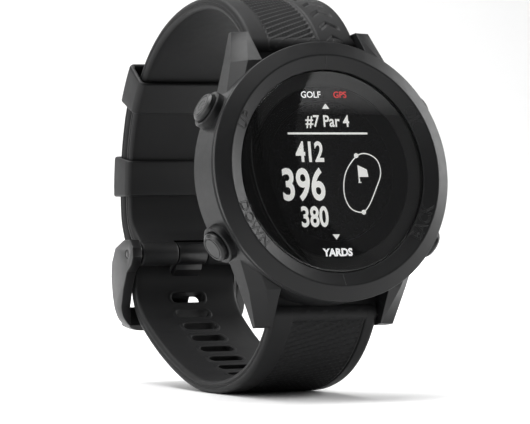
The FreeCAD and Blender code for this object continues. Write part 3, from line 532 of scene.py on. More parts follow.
def strap_tree():
    """Path and profile in; a ribbed, pierced strap out."""
    tree = bpy.data.node_groups.new("StrapBody", "GeometryNodeTree")
    tree_socket(tree, "Geometry", "NodeSocketGeometry")
    for name in ("Path", "Profile", "Cutters", "Slot", "Rim"):
        tree_socket(tree, name, "NodeSocketObject")
    tree_socket(tree, "Material", "NodeSocketMaterial")
    for name, value in (("Spacing", 0.00028), ("Rib From", 0.004), ("Rib To", 0.03),
                        ("Rib Left", -0.0078), ("Rib Right", 0.0078), ("Rib Pitch", 0.00105),
                        ("Rib Slant", 0.3), ("Rib Depth", 0.0003), ("Outer Side", 1.0),
                        ("Chevron Depth", 0.0), ("First Hole", 0.05),
                        ("Hole Pitch", HOLE_PITCH * MM)):
        tree_socket(tree, name, "NodeSocketFloat", value)
    tree_socket(tree, "Holes", "NodeSocketInt", 0)
    tree_socket(tree, "Geometry", "NodeSocketGeometry", direction="OUTPUT")
    graph = Graph(tree)
    given = tree.nodes.new("NodeGroupInput")

    def given_wire(name):
        return Wire(graph, given.outputs[name])

    def shape_of(name):
        return graph.add("GeometryNodeObjectInfo", {"transform_space": "ORIGINAL"},
                         {"Object": given_wire(name)}, output=4)

    path = graph.add("GeometryNodeResampleCurve", {"mode": "LENGTH"},
                     {"Curve": shape_of("Path"), "Length": given_wire("Spacing")})
    path = graph.add("GeometryNodeSetCurveNormal", {"mode": "FREE"},
                     {"Curve": path, "Normal": (1.0, 0.0, 0.0)})
    along = graph.add("GeometryNodeSplineParameter", output=1)
    path = graph.add("GeometryNodeStoreNamedAttribute",
                     {"data_type": "FLOAT", "domain": "POINT"},
                     {"Geometry": path, "Name": "along", "Value": along})
    profile = shape_of("Profile")
    here = graph.add("GeometryNodeInputPosition")
    parts = graph.add("ShaderNodeSeparateXYZ", None, {"Vector": here})
    sideways = Wire(graph, parts.socket.node.outputs["X"])
    outward = Wire(graph, parts.socket.node.outputs["Y"])
    for name, value in (("across", sideways), ("outward", outward)):
        profile = graph.add("GeometryNodeStoreNamedAttribute",
                            {"data_type": "FLOAT", "domain": "POINT"},
                            {"Geometry": profile, "Name": name, "Value": value})
    skin = graph.add("GeometryNodeCurveToMesh", None,
                     {"Curve": path, "Profile Curve": profile, "Fill Caps": True})

    def field(name):
        return graph.add("GeometryNodeInputNamedAttribute", {"data_type": "FLOAT"},
                         {"Name": name})

    along, across, outward = field("along"), field("across"), field("outward")
    outer = (outward * given_wire("Outer Side")).step(0.0004, 0.0006)
    lengthwise = (along - given_wire("Rib From")).step(0.0, 0.0006)
    lengthwise = lengthwise * (given_wire("Rib To") - along).step(0.0, 0.0006)
    inside = lengthwise * (across - given_wire("Rib Left")).step(0.0, 0.0004)
    inside = inside * (given_wire("Rib Right") - across).step(0.0, 0.0003)
    rib = (along + across * given_wire("Rib Slant")).wave(given_wire("Rib Pitch"))
    rib = rib.step(0.35, 0.8)
    border = (across - given_wire("Rib Right") - 0.0003).absolute().step(0.00024, 0.00004)
    centre = (across - 0.0062).absolute()
    chevron = (along + centre * 0.8).wave(0.0034).step(0.72, 0.95)
    chevron = chevron * centre.step(0.0019, 0.0016) * lengthwise
    normal = graph.add("GeometryNodeInputNormal")
    drop = inside * (1.0 - rib) * given_wire("Rib Depth")
    drop = drop + border * lengthwise * 0.0003 + chevron * given_wire("Chevron Depth")
    drop = drop * outer * -1.0
    move = graph.add("ShaderNodeVectorMath", {"operation": "SCALE"},
                     {"Vector": normal, "Scale": drop})
    skin = graph.add("GeometryNodeSetPosition", None, {"Geometry": skin, "Offset": move})

    spots = graph.add("GeometryNodePoints", None, {"Count": given_wire("Holes")})
    number = graph.add("GeometryNodeInputIndex")
    station = given_wire("First Hole") + number * given_wire("Hole Pitch")
    sample = graph.add("GeometryNodeSampleCurve", {"mode": "LENGTH", "use_all_curves": True},
                       {"Curves": path, "Length": station})
    where = Wire(graph, sample.socket.node.outputs["Position"])
    tangent = Wire(graph, sample.socket.node.outputs["Tangent"])
    turned = graph.add("FunctionNodeAxesToRotation",
                       {"primary_axis": "X", "secondary_axis": "Y"},
                       {"Primary Axis": (1.0, 0.0, 0.0), "Secondary Axis": tangent})
    spots = graph.add("GeometryNodeSetPosition", None, {"Geometry": spots, "Position": where})

    def stamped(name):
        return graph.add("GeometryNodeInstanceOnPoints", None,
                         {"Points": spots, "Instance": shape_of(name), "Rotation": turned})

    slots = graph.add("GeometryNodeRealizeInstances", None, {"Geometry": stamped("Slot")})
    pierced = graph.add("GeometryNodeMeshBoolean",
                        {"operation": "DIFFERENCE", "solver": "EXACT"},
                        {"Mesh 1": skin, "Mesh 2": [slots, shape_of("Cutters")],
                         "Self Intersection": True})
    joined = graph.add("GeometryNodeJoinGeometry", None,
                       {"Geometry": [pierced, stamped("Rim")]})
    whole = graph.add("GeometryNodeRealizeInstances", None, {"Geometry": joined})
    done = graph.add("GeometryNodeSetMaterial", None,
                     {"Geometry": whole, "Material": given_wire("Material")})
    output = tree.nodes.new("NodeGroupOutput")
    tree.links.new(done.socket, output.inputs["Geometry"])
    return tree


def set_inputs(modifier, values):
    """Fill a node modifier's inputs by their sockets' identifiers."""
    for item in modifier.node_group.interface.items_tree:
        if item.item_type == "SOCKET" and item.in_out == "INPUT" and item.name in values:
            modifier[item.identifier] = values[item.name]


def poly_curve(name, points, closed=False):
    data = bpy.data.curves.new(name, "CURVE")
    data.dimensions = "3D"
    line = data.splines.new("POLY")
    line.points.add(len(points) - 1)
    for spot, point in zip(line.points, points):
        spot.co = (point[0], point[1], point[2], 1.0)
    line.use_cyclic_u = closed
    return add_object(name, data)


def rounded_outline(width, height, radius, outer, groove=0.0):
    """A rounded rectangle's points, finely divided on its outer side, with side grooves."""
    half_w, half_h = width / 2, height / 2
    points = []
    for side in (1, -1):
        across = int((width - 2 * radius) / (0.19 if side == outer else 1.0))
        for i in range(across):
            points.append((side * (half_w - radius - (width - 2 * radius) * i / across),
                           side * half_h))
        first = math.pi / 2 if side > 0 else -math.pi / 2
        for i in range(6):
            turn = first + math.pi / 2 * i / 6
            points.append((-side * (half_w - radius) + radius * math.cos(turn),
                           side * (half_h - radius) + radius * math.sin(turn)))
        flat = half_h - radius
        for share in (1.0, 0.62, 0.5, 0.2, 0.08, -0.08, -0.2, -0.5, -0.62, -1.0):
            depth = groove if abs(share) < 0.56 and abs(share) > 0.15 else 0.0
            points.append((-side * (half_w - depth), side * flat * share))
        for i in range(1, 6):
            turn = first + math.pi / 2 + math.pi / 2 * i / 6
            points.append((-side * (half_w - radius) + radius * math.cos(turn),
                           -side * (half_h - radius) + radius * math.sin(turn)))
    return points


def slot_prism(name, width, height, depth, steps=8):
    """A flat slot with round ends, standing through the strap."""
    half = width / 2 - height / 2
    ring = []
    for side in (1, -1):
        for i in range(steps + 1):
            turn = math.pi * i / steps - math.pi / 2
            ring.append((side * (half + height / 2 * math.cos(turn)),
                         side * height / 2 * math.sin(turn)))
    points = [(x, y, z) for z in (-depth / 2, depth / 2) for x, y in ring]
    return mesh_object(name, points, prism_faces(len(ring)), smooth=False)


def rod_points(centre, radius, half, steps=48):
    """A cylinder across the watch as points and faces."""
    points = []
    for x in (-half, half):
        for i in range(steps):
            y, z = arc_point(centre, radius, 2 * math.pi * i / steps)
            points.append((x * MM, y * MM, z * MM))
    return points, prism_faces(steps)


def merged(name, parts):
    points, faces = [], []
    for some, rings in parts:
        base = len(points)
        points += some
        faces += [tuple(base + i for i in ring) for ring in rings]
    return mesh_object(name, points, faces, smooth=False)


def case_cutter():
    """The round case wall, a little larger, that a strap end is hollowed for."""
    points = []
    steps = 96
    for depth in (-18.0, 3.0):
        points += [tuple(dial_spot(CASE_REACH, 2 * math.pi * i / steps, depth))
                   for i in range(steps)]
    return points, prism_faces(steps)


def box_part(low, high):
    """A box between two corners in millimetres as points and faces."""
    points = [tuple(c * MM for c in (x, y, z)) for z in (low[2], high[2])
              for y in (low[1], high[1]) for x in (low[0], high[0])]
    faces = [(0, 2, 3, 1), (4, 5, 7, 6), (0, 1, 5, 4), (2, 6, 7, 3), (0, 4, 6, 2), (1, 3, 7, 5)]
    return points, faces


def rim_ring(name, width, height, offset, radius, steps=8, sides=8):
    """Two raised round-section rims, one on each face of the strap, round a slot."""
    half = (width - height) / 2
    ring = []
    for side in (1, -1):
        for i in range(steps + 1):
            turn = math.pi * i / steps - math.pi / 2
            out = Vector((side * math.cos(turn), side * math.sin(turn), 0))
            ring.append((Vector((side * half, 0, 0)) + out * (height / 2 + radius * 0.8), out))
    points, faces = [], []
    for face in (1, -1):
        faces += loop_faces(len(ring), sides, len(points))
        for centre, out in ring:
            for k in range(sides):
                turn = 2 * math.pi * k / sides
                points.append(centre + out * radius * math.cos(turn)
                              + Vector((0, 0, face * offset + 0.3 * radius * math.sin(turn))))
    return mesh_object(name, points, faces)


def make_strap(name, route, cutters, sizes, values):
    """Run the strap tree over a route and return the finished mesh object."""
    width, thick = sizes.strap_width, sizes.strap_thickness
    helpers = [poly_curve(name + "_path", [(0.0, y * MM, z * MM) for y, z in route.points])]
    outline = rounded_outline(width / MM, thick / MM, 0.75, values["Outer Side"], 0.07)
    helpers.append(poly_curve(name + "_profile", [(x * MM, y * MM, 0.0) for x, y in outline],
                              True))
    helpers.append(slot_prism(name + "_slot", HOLE_WIDTH * MM, HOLE_HEIGHT * MM, 4.0 * MM))
    helpers.append(rim_ring(name + "_rim", HOLE_WIDTH * MM, HOLE_HEIGHT * MM, thick / 2,
                            0.35 * MM))
    helpers.append(merged(name + "_cutters", cutters))
    host = add_object(name, bpy.data.meshes.new(name))
    modifier = host.modifiers.new("Strap", "NODES")
    modifier.node_group = bpy.data.node_groups.get("StrapBody") or strap_tree()
    given = dict(zip(("Path", "Profile", "Slot", "Rim", "Cutters"), helpers))
    given.update({"Material": finish("strap_silicone", sizes), "Rib Pitch": sizes.rib_pitch,
                  "Rib Depth": sizes.rib_depth})
    given.update(values)
    set_inputs(modifier, given)
    strap = baked(host)
    for helper in helpers:
        bpy.data.objects.remove(helper)
    if len(strap.data.polygons) < 1000:
        raise RuntimeError(name + ": the strap tree made no mesh")
    return soften(strap, 50.0)


# ---------------------------------------------------------------- settings

class WatchSettings(bpy.types.PropertyGroup):
    """Sizes and colours of the watch's outside."""
    case_colour: FloatVectorProperty(
        name="Case colour", description="Colour of the case and back cover", subtype="COLOR",
        size=3, default=(0.0055, 0.0057, 0.0061), min=0.0, max=1.0)
    bezel_colour: FloatVectorProperty(
        name="Bezel colour", description="Colour of the bezel and buttons", subtype="COLOR",
        size=3, default=(0.006, 0.0062, 0.0066), min=0.0, max=1.0)
    strap_colour: FloatVectorProperty(
        name="Strap colour", description="Colour of the silicone straps and keepers",
        subtype="COLOR", size=3, default=(0.0065, 0.0066, 0.007), min=0.0, max=1.0)
    buckle_colour: FloatVectorProperty(
        name="Buckle colour", description="Colour of the coated buckle", subtype="COLOR",
        size=3, default=(0.006, 0.006, 0.0064), min=0.0, max=1.0)
    strap_width: FloatProperty(
        name="Strap width", description="Width of both straps", unit="LENGTH", default=0.02,
        min=0.01, max=0.03)
    strap_thickness: FloatProperty(
        name="Strap thickness", description="Thickness of both straps", unit="LENGTH",
        default=0.0022, min=0.001, max=0.005)
    rib_pitch: FloatProperty(
        name="Rib pitch", description="Distance from one strap rib to the next",
        unit="LENGTH", default=0.00105, min=0.0005, max=0.005)
    rib_depth: FloatProperty(
        name="Rib depth", description="Depth of the grooves between the ribs",
        unit="LENGTH", default=0.00028, min=0.0, max=0.001)
    label_size: FloatProperty(
        name="Label size", description="Height of the engraved button labels",
        unit="LENGTH", default=0.0021, min=0.001, max=0.004)
    # painted glow: strength of the emission that stands in for the light the screen's figures
    # reflect
    screen_painted_glow: FloatProperty(
        name="Screen glow", description="Strength of the lit figures on the screen",
        default=1.0, min=0.0, max=10.0)
    floor_size: FloatProperty(
        name="Floor size", description="Length of the pale floor's side", unit="LENGTH",
        default=4.0, min=0.5, max=20.0)
    lamp_power: FloatProperty(
        name="Lamp power", description="Power of the main soft lamp", unit="POWER",
        default=12.0, min=0.0, max=500.0)


def settings():
    return bpy.context.scene.watch_settings


# ---------------------------------------------------------------- head pieces

BEZEL_PROFILE = [
    (17.05, -1.4), (21.45, -1.4), (21.45, -0.9), (21.8, -0.9), (21.85, -0.86), (21.85, -0.38),
    (21.8, -0.28), (19.62, 0.85), (19.5, 0.905), (19.35, 0.93), (19.2, 0.9), (19.08, 0.84),
    (17.25, 0.06), (17.12, 0.0), (17.05, -0.1)]
LENS_PROFILE = [(0.0, -0.97), (16.9, -0.97), (16.99, -0.9), (16.99, -0.3), (16.95, -0.16),
                (16.85, -0.06), (16.7, -0.01), (16.4, 0.0), (0.0, 0.0)]


def band_height(radius):
    """Height of the bezel's label band at a radius, in millimetres."""
    return 0.06 + (radius - 17.25) * (0.84 - 0.06) / (19.08 - 17.25)


def disc(name, profile, steps=192):
    """A closed turned shape whose profile starts and ends on the dial's axis."""
    points = [dial_spot(0, 0, profile[0][1])]
    ring = profile[1:-1]
    for i in range(steps):
        turn = 2 * math.pi * i / steps
        points += [dial_spot(radius, turn, height) for radius, height in ring]
    points.append(dial_spot(0, 0, profile[-1][1]))
    count = len(ring)
    faces = []
    for i in range(steps):
        one, two = 1 + i * count, 1 + (i + 1) % steps * count
        faces.append((0, two, one))
        faces.append((len(points) - 1, one + count - 1, two + count - 1))
        for k in range(count - 1):
            faces.append((one + k, two + k, two + k + 1, one + k + 1))
    return mesh_object(name, points, faces)


def flat_text(text, size_mm, bold=0.0, outline=0.0, narrow=1.0):
    """Words as a mesh lying flat round the origin, in millimetres."""
    data = bpy.data.curves.new("Words", "FONT")
    data.body = text
    data.size = size_mm
    data.align_x = "CENTER"
    data.align_y = "CENTER"
    data.offset = bold
    data.resolution_u = 4
    if outline:
        data.fill_mode = "NONE"
        data.bevel_depth = outline
        data.bevel_resolution = 1
    else:
        data.extrude = 0.004
    obj = add_object("Words", data)
    bpy.context.view_layer.update()
    graph = bpy.context.evaluated_depsgraph_get()
    mesh = bpy.data.meshes.new_from_object(obj.evaluated_get(graph))
    bpy.data.objects.remove(obj)
    xs = [v.co.x for v in mesh.vertices]
    ys = [v.co.y for v in mesh.vertices]
    centre = Vector(((min(xs) + max(xs)) / 2, (min(ys) + max(ys)) / 2, 0))
    for v in mesh.vertices:
        v.co -= centre
        v.co.x *= narrow
    return mesh


def on_dial(mesh, across, up, height):
    """Move a flat millimetre mesh to a spot on the dial's face."""
    mesh.transform(Matrix.Translation((across, up, height)))
    mesh.transform(HEAD @ Matrix.Scale(MM, 4))
    return mesh


def join_meshes(name, meshes):
    shell = bmesh.new()
    for mesh in meshes:
        shell.from_mesh(mesh)
        bpy.data.meshes.remove(mesh)
    bmesh.ops.recalc_face_normals(shell, faces=shell.faces)
    whole = bpy.data.meshes.new(name)
    shell.to_mesh(whole)
    shell.free()
    return add_object(name, whole)


def round_band(mesh, radius, angle, inward):
    """Wrap a flat word on to the bezel's label band, its tops outwards or inwards."""
    side = -1 if inward else 1
    for v in mesh.vertices:
        reach = radius + side * v.co.y
        turn = math.radians(angle) - side * v.co.x / radius
        v.co = (reach * math.cos(turn), reach * math.sin(turn), band_height(reach) + v.co.z)
    mesh.transform(HEAD @ Matrix.Scale(MM, 4))
    return mesh


def flat_shape(points, thick=0.008):
    """A thin flat plate from an outline in millimetres."""
    mesh = bpy.data.meshes.new("Plate")
    solid = [(x, y, z) for z in (-thick / 2, thick / 2) for x, y in points]
    mesh.from_pydata(solid, [], prism_faces(len(points)))
    return mesh


def round_spot(x, y, radius, steps=24):
    return [arc_point((x, y), radius, 2 * math.pi * i / steps) for i in range(steps)]


def closed_line(points, width):
    """A flat closed line of even width round a smooth loop of points."""
    mesh = bpy.data.meshes.new("Line")
    count = len(points)
    inner, outer = [], []
    for i, point in enumerate(points):
        before, after = points[i - 1], points[(i + 1) % count]
        dx, dy = after[0] - before[0], after[1] - before[1]
        size = math.hypot(dx, dy)
        side = (dy / size * width / 2, -dx / size * width / 2)
        inner.append((point[0] - side[0], point[1] - side[1], 0.0))
        outer.append((point[0] + side[0], point[1] + side[1], 0.0))
    faces = [(i, (i + 1) % count, count + (i + 1) % count, count + i) for i in range(count)]
    mesh.from_pydata(inner + outer, [], faces)
    return mesh


def smooth_loop(knots, steps=8):
    """A closed Catmull-Rom line through a few knots."""
    points = []
    count = len(knots)
    for i in range(count):
        a, b, c, d = (Vector(knots[(i + k) % count]) for k in (-1, 0, 1, 2))
        for step in range(steps):
            t = step / steps
            point = 0.5 * (2 * b + (c - a) * t + (2 * a - 5 * b + 4 * c - d) * t * t
                           + (3 * b - a - 3 * c + d) * t * t * t)
            points.append((point.x, point.y))
    return points


class WATCH_OT_head(bpy.types.Operator):
    """Builds the lens and the bezel with its marks and button labels"""
    bl_idname = "watch.head"
    bl_label = "Lens and bezel"

    def execute(self, context):
        sizes = settings()
        lens = disc("lens_glass_disc", LENS_PROFILE)
        place_piece(soften(lens, 60), "head", "lens_glass", sizes, ["lens"])
        bezel = lathe("bezel", BEZEL_PROFILE)
        place_piece(soften(bezel, 8), "head", "bezel_polymer", sizes, ["bezel_ring"])
        label = sizes.label_size / MM
        meshes = []
        for word, angle, inward in (("UP", 152, False), ("OK", 30, False),
                                    ("DOWN", 209, True), ("BACK", 331, True)):
            meshes.append(round_band(flat_text(word, label * 1.2, 0.0, 0.075), 18.15, angle,
                                     inward))
        for angle in (90, 270):
            line = flat_shape([(-0.07, -0.95), (0.07, -0.95), (0.07, 0.95), (-0.07, 0.95)], 0.06)
            meshes.append(round_band(line, 18.3, angle, False))
        place_piece(soften(join_meshes("bezel_labels", meshes)), "head", "button_polymer", sizes)
        return {"FINISHED"}


BUTTONS = {"ok": 30, "up": 150, "down": 210, "back": 330}
BUTTON_DEPTH = 5.6
BUTTON_FACE = 23.9
LIP_SECTION = [(2.62, 22.6), (3.28, 22.6), (3.3, 22.7), (3.24, 22.82), (3.1, 22.88),
               (2.82, 22.88), (2.68, 22.82), (2.62, 22.7)]


def button_axes(angle):
    """Millimetre axes of the button at an angle: across, out of the dial, and outwards."""
    out = math.radians(angle)
    axis = Vector((math.cos(out), math.sin(out), 0))
    across = Vector((-math.sin(out), math.cos(out), 0))
    turn = Matrix((across, Vector((0, 0, 1)), axis)).transposed().to_4x4()
    return HEAD @ Matrix.Scale(MM, 4) @ Matrix.Translation((0, 0, -BUTTON_DEPTH)) @ turn


class WATCH_OT_buttons(bpy.types.Operator):
    """Adds the raised mark on the upper left button and a collar lip round each button"""
    bl_idname = "watch.buttons"
    bl_label = "Button details"

    def execute(self, context):
        sizes = settings()
        arc = [arc_point((0, 0), 1.0, math.radians(a)) for a in range(125, 416, 10)]
        arc += [arc_point((0, 0), 0.8, math.radians(a)) for a in range(415, 124, -10)]
        stroke = [(-0.1, 0.1), (0.1, 0.1), (0.1, 1.15), (-0.1, 1.15)]
        mark = [flat_shape(arc, 0.08), flat_shape(stroke, 0.08)]
        for mesh in mark:
            mesh.transform(button_axes(BUTTONS["up"]) @ Matrix.Translation((0, 0, BUTTON_FACE)))
        place_piece(join_meshes("power_mark", mark), "up_button", "bezel_polymer", sizes)
        steps = 72
        for name, angle in BUTTONS.items():
            axes = button_axes(angle)
            points = []
            for i in range(steps):
                turn = 2 * math.pi * i / steps
                points += [axes @ Vector((*arc_point((0, 0), radius, turn), reach))
                           for radius, reach in LIP_SECTION]
            faces = loop_faces(steps, len(LIP_SECTION))
            lip = soften(mesh_object(name + "_button_lip", points, faces), 40)
            place_piece(lip, "head", "case_polymer", sizes)
        return {"FINISHED"}


# how far the screen's figures, which carry painted glow, lie under the front of the lens, in
# millimetres
SCREEN_LEVEL = -0.985


class WATCH_OT_screen(bpy.types.Operator):
    """Builds the screen's figures with painted glow: hole number, distances and the green's
    outline
    """
    bl_idname = "watch.screen"
    bl_label = "Screen figures"

    def execute(self, context):
        sizes = settings()
        white = [
            on_dial(flat_text("#7 Par 4", 2.75, 0.05, narrow=0.86), 0.1, 8.45, SCREEN_LEVEL),
            on_dial(flat_shape([(-7.5, -0.17), (7.5, -0.17), (7.5, 0.17), (-7.5, 0.17)]), 0,
                    6.45, SCREEN_LEVEL),
            on_dial(flat_text("412", 4.7, 0.12, narrow=0.74), -3.7, 3.4, SCREEN_LEVEL),
            on_dial(flat_text("396", 7.4, 0.17, narrow=0.74), -5.3, -2.1, SCREEN_LEVEL),
            on_dial(flat_text("380", 4.7, 0.12, narrow=0.74), -3.7, -7.5, SCREEN_LEVEL),
            on_dial(flat_shape([(-0.7, -0.4), (0.7, -0.4), (0, 0.5)]), 0, 11.0, SCREEN_LEVEL),
            on_dial(flat_shape([(-0.7, 0.4), (0, -0.5), (0.7, 0.4)]), 0, -10.9, SCREEN_LEVEL)]
        green = smooth_loop([(5.0, 2.55), (7.0, 3.0), (8.9, 1.9), (9.35, -0.4), (8.1, -3.2),
                             (6.6, -5.8), (5.2, -6.85), (3.1, -6.1), (2.15, -3.6),
                             (2.75, -0.2)])
        white.append(on_dial(closed_line(green, 0.2), 0, 0, SCREEN_LEVEL))
        for x, y in ((5.0, 2.7), (5.55, -6.85)):
            white.append(on_dial(flat_shape(round_spot(x, y, 0.42)), 0, 0, SCREEN_LEVEL))
        white.append(on_dial(flat_shape([(5.0, -1.9), (5.6, -1.9), (5.6, -1.75), (5.38, -1.75),
                                         (5.3, -0.9), (7.0, -0.9), (6.8, 0.35), (5.1, 1.1),
                                         (5.1, -1.75), (5.0, -1.75)]), 0, 0, SCREEN_LEVEL))
        place_piece(join_meshes("screen_figures", white), "head", None, sizes)
        words = [on_dial(flat_text("YARDS", 1.75, 0.07), 0.0, -13.5, SCREEN_LEVEL)]
        words.append(on_dial(flat_text("GOLF", 1.5, 0.02), -2.6, 13.0, SCREEN_LEVEL))
        place_piece(join_meshes("screen_words", words), "head", None, sizes)
        red = join_meshes("screen_red_word", [on_dial(flat_text("GPS", 1.5, 0.02), 2.9, 13.0,
                                                      SCREEN_LEVEL)])
        place_piece(red, "head", None, sizes)
        # the figures' emission is painted glow, standing in for the light the screen reflects
        for piece, colour in (("screen_figures", (0.62, 0.62, 0.6)),
                              ("screen_words", (0.8, 0.8, 0.8)),
                              ("screen_red_word", (0.55, 0.02, 0.02))):
            data = bpy.data.objects[piece].data
            data.materials.append(painted_glow_finish(piece, colour, sizes.screen_painted_glow))
        return {"FINISHED"}


# ---------------------------------------------------------------- straps

def tongue_slot():
    """The sloping slot that the tongue goes through, as cutter points."""
    y, z = side_mm(PIN)
    knee, crossing = Vector((y + 0.75, z - 2.6)), Vector((y + 5.1, z - 6.7))
    slope = math.atan2(crossing.y - knee.y, crossing.x - knee.x)
    centre = (knee + crossing) / 2 + Vector((0.35, 0.1))
    turn = Matrix.Rotation(slope - math.pi / 2, 3, "X")
    prism = slot_prism("TongueSlot", 6.1, 1.7, 9.0)
    points = []
    for v in prism.data.vertices:
        moved = turn @ v.co
        points.append((moved.x * MM, (moved.y + centre.x) * MM, (moved.z + centre.y) * MM))
    faces = [tuple(p.vertices) for p in prism.data.polygons]
    bpy.data.objects.remove(prism)
    return points, faces


def tube(name, centre, radius, low, high, steps=64):
    """A solid round bar across the watch with rounded ends."""
    points, faces = [], []
    profile = [(low, 0.0)]
    for i in range(5):
        turn = math.pi / 2 * i / 4
        profile.append((low + 0.4 * (1 - math.sin(turn)), radius - 0.4 * (1 - math.cos(turn))))
    profile[1:] = sorted(profile[1:], key=lambda p: p[0])
    mirror = [(low + high - x, r) for x, r in reversed(profile)]
    profile += mirror
    for x, r in profile:
        for i in range(steps):
            y, z = arc_point(centre, r, 2 * math.pi * i / steps)
            points.append((x * MM, y * MM, z * MM))
    for k in range(len(profile) - 1):
        for i in range(steps):
            n = (i + 1) % steps
            faces.append((k * steps + i, k * steps + n, (k + 1) * steps + n,
                          (k + 1) * steps + i))
    return mesh_object(name, points, faces)


def carved(obj, cutter_parts):
    """Take cutters out of a mesh and drop them."""
    cutter = merged(obj.name + "_cutter", cutter_parts)
    modifier = obj.modifiers.new("Carve", "BOOLEAN")
    modifier.operation = "DIFFERENCE"
    modifier.solver = "EXACT"
    modifier.use_self = True
    modifier.object = cutter
    baked(obj)
    bpy.data.objects.remove(cutter)
    return soften(obj, 40)


def knuckle(name, bar, heading, side):
    """The round strap end at a lug, bored for the bar and hollowed for the case."""
    spot = side_mm(middle(bar))
    centre = curl_centre(spot, heading, side)
    solid = tube(name, centre, KNUCKLE_RADIUS, -KNUCKLE_HALF, KNUCKLE_HALF)
    points, faces = box_part(*ROOT_BLOCK)
    points = [HEAD @ Vector((x, -side * v, w)) for x, v, w in points]
    block = mesh_object(name + "_root", points, faces, smooth=False)
    whole = join_meshes(name, [solid.data, block.data])
    return carved(whole, [case_cutter(), rod_points(spot, BAR_BORE, CUTTER_HALF)])


class WATCH_OT_upper_strap(bpy.types.Operator):
    """Builds the upper strap with its ribs, engraved chevrons and buckle end"""
    bl_idname = "watch.upper_strap"
    bl_label = "Upper strap"

    def execute(self, context):
        sizes = settings()
        route = upper_route()
        y, z = side_mm(PIN)
        cutters = [case_cutter(), rod_points((y, z), 2.3, 3.0),
                   box_part((-3.0, y - 4.0, z - 4.2), (3.0, y + 4.2, z + 0.2)),
                   rod_points(side_mm(middle("upper_spring_bar")), BAR_BORE, CUTTER_HALF)]
        strap = make_strap("upper_strap_band", route, cutters, sizes,
                           {"Rib From": 0.2 * MM, "Rib To": 30 * MM, "Rib Left": -6.4 * MM,
                            "Rib Right": 2.7 * MM, "Rib Slant": -0.42, "Holes": 0,
                            "Outer Side": OUTER_SIDE, "Chevron Depth": 0.3 * MM})
        place_piece(strap, "head", "strap_silicone", sizes, ["upper_strap"])
        end = knuckle("upper_strap_knuckle", "upper_spring_bar", UPPER_HEADING, -1)
        place_piece(end, "head", "strap_silicone", sizes)
        for name, low, high in (("left", -10.0, -2.95), ("right", 2.95, 10.0)):
            end = tube("upper_strap_end_" + name, (y, z), PIN_END_RADIUS, low, high)
            end = carved(end, [rod_points((y, z), PIN_BORE, CUTTER_HALF)])
            place_piece(end, "head", "strap_silicone", sizes)
        return {"FINISHED"}


class WATCH_OT_lower_strap(bpy.types.Operator):
    """Builds the lower strap with its ribs, adjusting holes and tail"""
    bl_idname = "watch.lower_strap"
    bl_label = "Lower strap"

    def execute(self, context):
        sizes = settings()
        route = lower_route()
        cutters = [case_cutter(), tongue_slot(),
                   rod_points(side_mm(middle("lower_spring_bar")), BAR_BORE, CUTTER_HALF)]
        count, first = hole_stations(route)
        strap = make_strap("lower_strap_band", route, cutters, sizes,
                           {"Rib From": 0.2 * MM, "Rib To": 27 * MM, "Rib Left": -6.2 * MM,
                            "Rib Right": 7.4 * MM, "Rib Slant": 0.32, "Holes": count,
                            "First Hole": first * MM, "Outer Side": -OUTER_SIDE})
        place_piece(strap, "head", "strap_silicone", sizes, ["lower_strap"])
        end = knuckle("lower_strap_knuckle", "lower_spring_bar", LOWER_HEADING, 1)
        place_piece(end, "head", "strap_silicone", sizes)
        return {"FINISHED"}


def hole_stations(route):
    """How many adjusting holes lie before the tongue's, and where the first one is."""
    target = side_mm(PIN)[1] - 4.6
    travelled, used = 0.0, 0.0
    before = route.points[0]
    for point in route.points[1:]:
        step = math.hypot(point[0] - before[0], point[1] - before[1])
        if travelled > 40 and before[1] < target <= point[1]:
            used = travelled + step * (target - before[1]) / (point[1] - before[1])
            break
        travelled += step
        before = point
    if not used:
        raise RuntimeError("the lower strap doesn't pass the buckle")
    return HOLES_BEFORE_TONGUE, used - HOLES_BEFORE_TONGUE * HOLE_PITCH


# ---------------------------------------------------------------- keepers and buckle

QUARTERS = ((1, 1, 0.0), (-1, 1, 90.0), (-1, -1, 180.0), (1, -1, 270.0))
KEEPER_WALL = 0.85
KEEPER_GAP = 0.12
KEEPER_LENGTH = 6.6


def keeper_loop(half_width, low, high, corner, steps=8):
    """Middle line of a keeper's wall: points with their outward directions."""
    loop = []
    mid = (low + high) / 2
    half = (high - low) / 2
    for side, up, first in QUARTERS:
        for i in range(steps + 1):
            turn = math.radians(first + 90.0 * i / steps)
            loop.append(((side * (half_width - corner) + corner * math.cos(turn),
                          mid + up * (half - corner) + corner * math.sin(turn)),
                         (math.cos(turn), math.sin(turn))))
    return loop


def keeper_wall(length, thick, radius, steps=5):
    """Section of a keeper's wall: (along the strap, out of the wall) points."""
    section = []
    for side, up, first in QUARTERS:
        for i in range(steps + 1):
            turn = math.radians(first + 90.0 * i / steps)
            section.append((side * (length / 2 - radius) + radius * math.cos(turn),
                            up * (thick / 2 - radius) + radius * math.sin(turn)))
        if up * side > 0:
            for share in (0.6, 0.2, -0.2, -0.6):
                section.append((side * share * (length / 2 - radius), up * thick / 2))
    return section


def make_keeper(name, leg, share, sizes):
    """A keeper at a share of one of the upper strap's arcs, round both straps."""
    centre, radius, heading, turn = upper_route().arcs[leg + 1]
    at = heading + share * turn + math.pi / 2
    thick = sizes.strap_thickness / MM
    low = radius - thick / 2 - KEEPER_GAP - KEEPER_WALL / 2
    high = radius + thick * 1.5 + 2 * KEEPER_GAP + KEEPER_WALL / 2
    half = sizes.strap_width / MM / 2 + KEEPER_GAP + KEEPER_WALL / 2
    loop = keeper_loop(half, low, high, 0.75)
    section = keeper_wall(KEEPER_LENGTH, KEEPER_WALL, 0.4)
    points = []
    for (x, reach), (out_x, out_r) in loop:
        for along, out in section:
            where = reach + out * out_r
            y, z = arc_point(centre, where, at + along / radius)
            points.append(((x + out * out_x) * MM, y * MM, z * MM))
    faces = loop_faces(len(loop), len(section))
    keeper = soften(mesh_object(name + "_loop", points, faces), 60)
    return place_piece(keeper, name, "keeper_silicone", sizes, [name])


